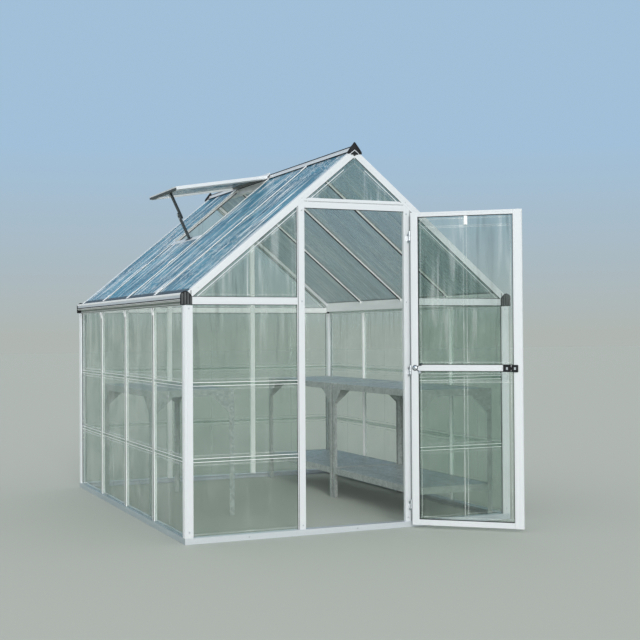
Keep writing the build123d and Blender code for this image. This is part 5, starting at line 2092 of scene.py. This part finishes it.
@dataclass
class Fasteners(Part):
    """Screw heads, placed by a node tree on marked points."""

    radius: float = 0.0045
    seed: int = 7
    sides: int = 12
    plate: float = 0.0016
    corner_out: float = 0.912
    corner_levels: Pair = (0.06, 1.165)
    door_post_out: float = 0.303
    door_post_levels: tuple[float, ...] = (0.05, 1.204, 1.675)
    rafter_places: Sequence[Pair] = ((0.02, 0.016), (0.30, 0.019), (0.86, 0.019))
    rafter_sink: float = 0.002
    stud_levels: Pair = (0.055, 1.150)
    stud_sink: float = 0.0009
    bar_places: Sequence[Pair] = ((0.085, 0), (0.885, 0.0022))
    rail_out: float = 0.935
    rail_level: float = 0.016
    side_rail_places: tuple[float, ...] = (0.30, 0.92, 1.54, 2.16)
    front_rail_places: tuple[float, ...] = (-0.60, 0.0, 0.60)
    bolt_places: Sequence[Pair] = ((0.015, 0.700), (0.100, 0.693), (0.016, 0.612))
    points: list[tuple[Vector, Vector]] = field(default_factory=list)

    def mark(self, place: Point | Vector, way: Point | Vector) -> None:
        """Note a screw's place and the way it faces."""
        self.points.append((Vector(place), Vector(way)))

    def head(self) -> bpy.types.Object:
        """Make one small domed screw head with a dip, facing Z.

        Returns:
            The head, outside the scene.
        """
        maker = MeshMaker("screw_head", [])
        profile = ((1, -0.1), (1, 0.12), (0.86, 0.34), (0.55, 0.48), (0.22, 0.50), (0.16, 0.30))
        maker.loft([[Vector((radius * math.cos(a), radius * math.sin(a), z)) for a in angles(self.sides)]
                    for radius, z in profile])
        data = bpy.data.meshes.new("screw_head")
        maker.mesh.to_mesh(data)
        maker.mesh.free()
        return bpy.data.objects.new("screw_head", data)

    def tree(self, head: bpy.types.Object, material: Material) -> Tree:
        """Build the node tree that sets a head on each marked point.

        Args:
            head: The screw head.
            material: Its material.

        Returns:
            The tree, with the inputs Radius and Seed.
        """
        tree, start, end = geometry_tree("screws_on_points", {"Radius": "Float", "Seed": "Int"})
        facing = add_node(
            tree, "GeometryNodeInputNamedAttribute", {"data_type": "FLOAT_VECTOR"}, Name="facing")
        aim = add_node(tree, "FunctionNodeAlignRotationToVector", {"axis": "Z"}, Vector=facing.outputs[0])
        spin = add_node(tree, "FunctionNodeRandomValue", {"data_type": "FLOAT"}, in2=0.0, in3=math.tau,
                        Seed=start.outputs["Seed"])
        twist = add_node(tree, "FunctionNodeAxisAngleToRotation", Axis=UP, Angle=spin.outputs[1])
        turned = add_node(
            tree, "FunctionNodeRotateRotation", {"rotation_space": "LOCAL"}, Rotation=aim.outputs[0],
            Rotate_By=twist.outputs[0])
        source = add_node(tree, "GeometryNodeObjectInfo", Object=head)
        points = add_node(tree, "GeometryNodeMeshToPoints", Mesh=start.outputs["Geometry"])
        placed = add_node(
            tree, "GeometryNodeInstanceOnPoints", Points=points.outputs[0],
            Instance=source.outputs["Geometry"], Rotation=turned.outputs[0], Scale=start.outputs["Radius"])
        real = add_node(tree, "GeometryNodeRealizeInstances", Geometry=placed.outputs[0])
        smooth = add_node(tree, "GeometryNodeSetShadeSmooth", Geometry=real.outputs[0])
        painted = add_node(tree, "GeometryNodeSetMaterial", Geometry=smooth.outputs[0], Material=material)
        tree.links.new(painted.outputs[0], end.inputs[0])
        return tree

    def gather(self) -> None:
        """Mark every screw's place and the way it faces."""
        layout, roof = self.layout, self.layout.roof
        ahead = Vector(FORWARD)
        for side in (-1, 1):
            for z in self.corner_levels:
                self.mark((side * self.corner_out, -layout.proud, z), ahead)
            for z in self.door_post_levels:
                self.mark((side * self.door_post_out, 0.0, z), ahead)
            for out, drop in self.rafter_places:
                point = Vector((side * out, 0.0, roof(out, drop)))
                self.mark(point + Vector((0.0, self.rafter_sink, 0.0)), ahead)
                self.mark(point + Vector((0.0, layout.length - self.rafter_sink, 0.0)), -ahead)
            for y in layout.bay_lines()[1:-1]:
                for z in self.stud_levels:
                    self.mark((side * (layout.half_width - self.stud_sink), y, z), (side, 0, 0))
                for out, lift in self.bar_places:
                    up = -layout.under(side)
                    self.mark(Vector((side * out, y, roof(out))) + up * lift, up)
        for y in self.side_rail_places:
            for side in (-1, 1):
                self.mark((side * self.rail_out, y, self.rail_level), (side, 0, 0))
        for x in self.front_rail_places:
            self.mark((x, -layout.proud, self.rail_level), ahead)
        self.stand_bolts()

    def stand_bolts(self) -> None:
        """Mark the bolts of the stands' gussets."""
        for side, spans in STAND_SPANS.items():
            for start, stop in spans:
                for y, way in ((start, 1), (stop, -1)):
                    for x, inward in ((side * STAND_WALL, -side), (side * STAND_AISLE, side)):
                        for a, z in self.bolt_places:
                            self.mark((x + inward * a, y - way * self.plate, z), (0, -way, 0))
                            self.mark((x - inward * self.plate, y + way * a, z), (-inward, 0, 0))

    def place(self, name: str, tree: Tree) -> None:
        """Run the tree on the marked points and keep the result as one mesh.

        Args:
            name: The piece's name.
            tree: The node tree.
        """
        data = bpy.data.meshes.new(name + "_points")
        data.from_pydata([tuple(point) for point, _ in self.points], [], [])
        facing = data.attributes.new("facing", "FLOAT_VECTOR", "POINT")
        for index, (_, way) in enumerate(self.points):
            facing.data[index].vector = tuple(way)
        made = grow(tree, {"Radius": self.radius, "Seed": self.seed}, data)
        made.name = name
        piece = add_object(name, made)
        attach(piece, FRAME_BODY)
        LOG.info("built %s with %d heads", name, len(self.points))

    def build(self) -> None:
        """Place all screws."""
        self.gather()
        head = self.head()
        self.place("frame_screws", self.tree(head, self.finishes.plain(self.finishes.zinc)))
        bpy.data.objects.remove(head)


def main() -> None:
    """Build the studio and the greenhouse."""
    logging.basicConfig(level=logging.INFO, format="%(name)s: %(message)s")
    layout = Layout()
    finishes = Finishes(Slope(layout.slope(), layout.ridge_z))
    Studio().build()
    for part in (Base, Uprights, Rails, RoofFrame, Eaves, Sheets, RoofWindow, Door, Stands, Fasteners):
        part(layout, finishes).build()


if __name__ == "__main__":
    main()
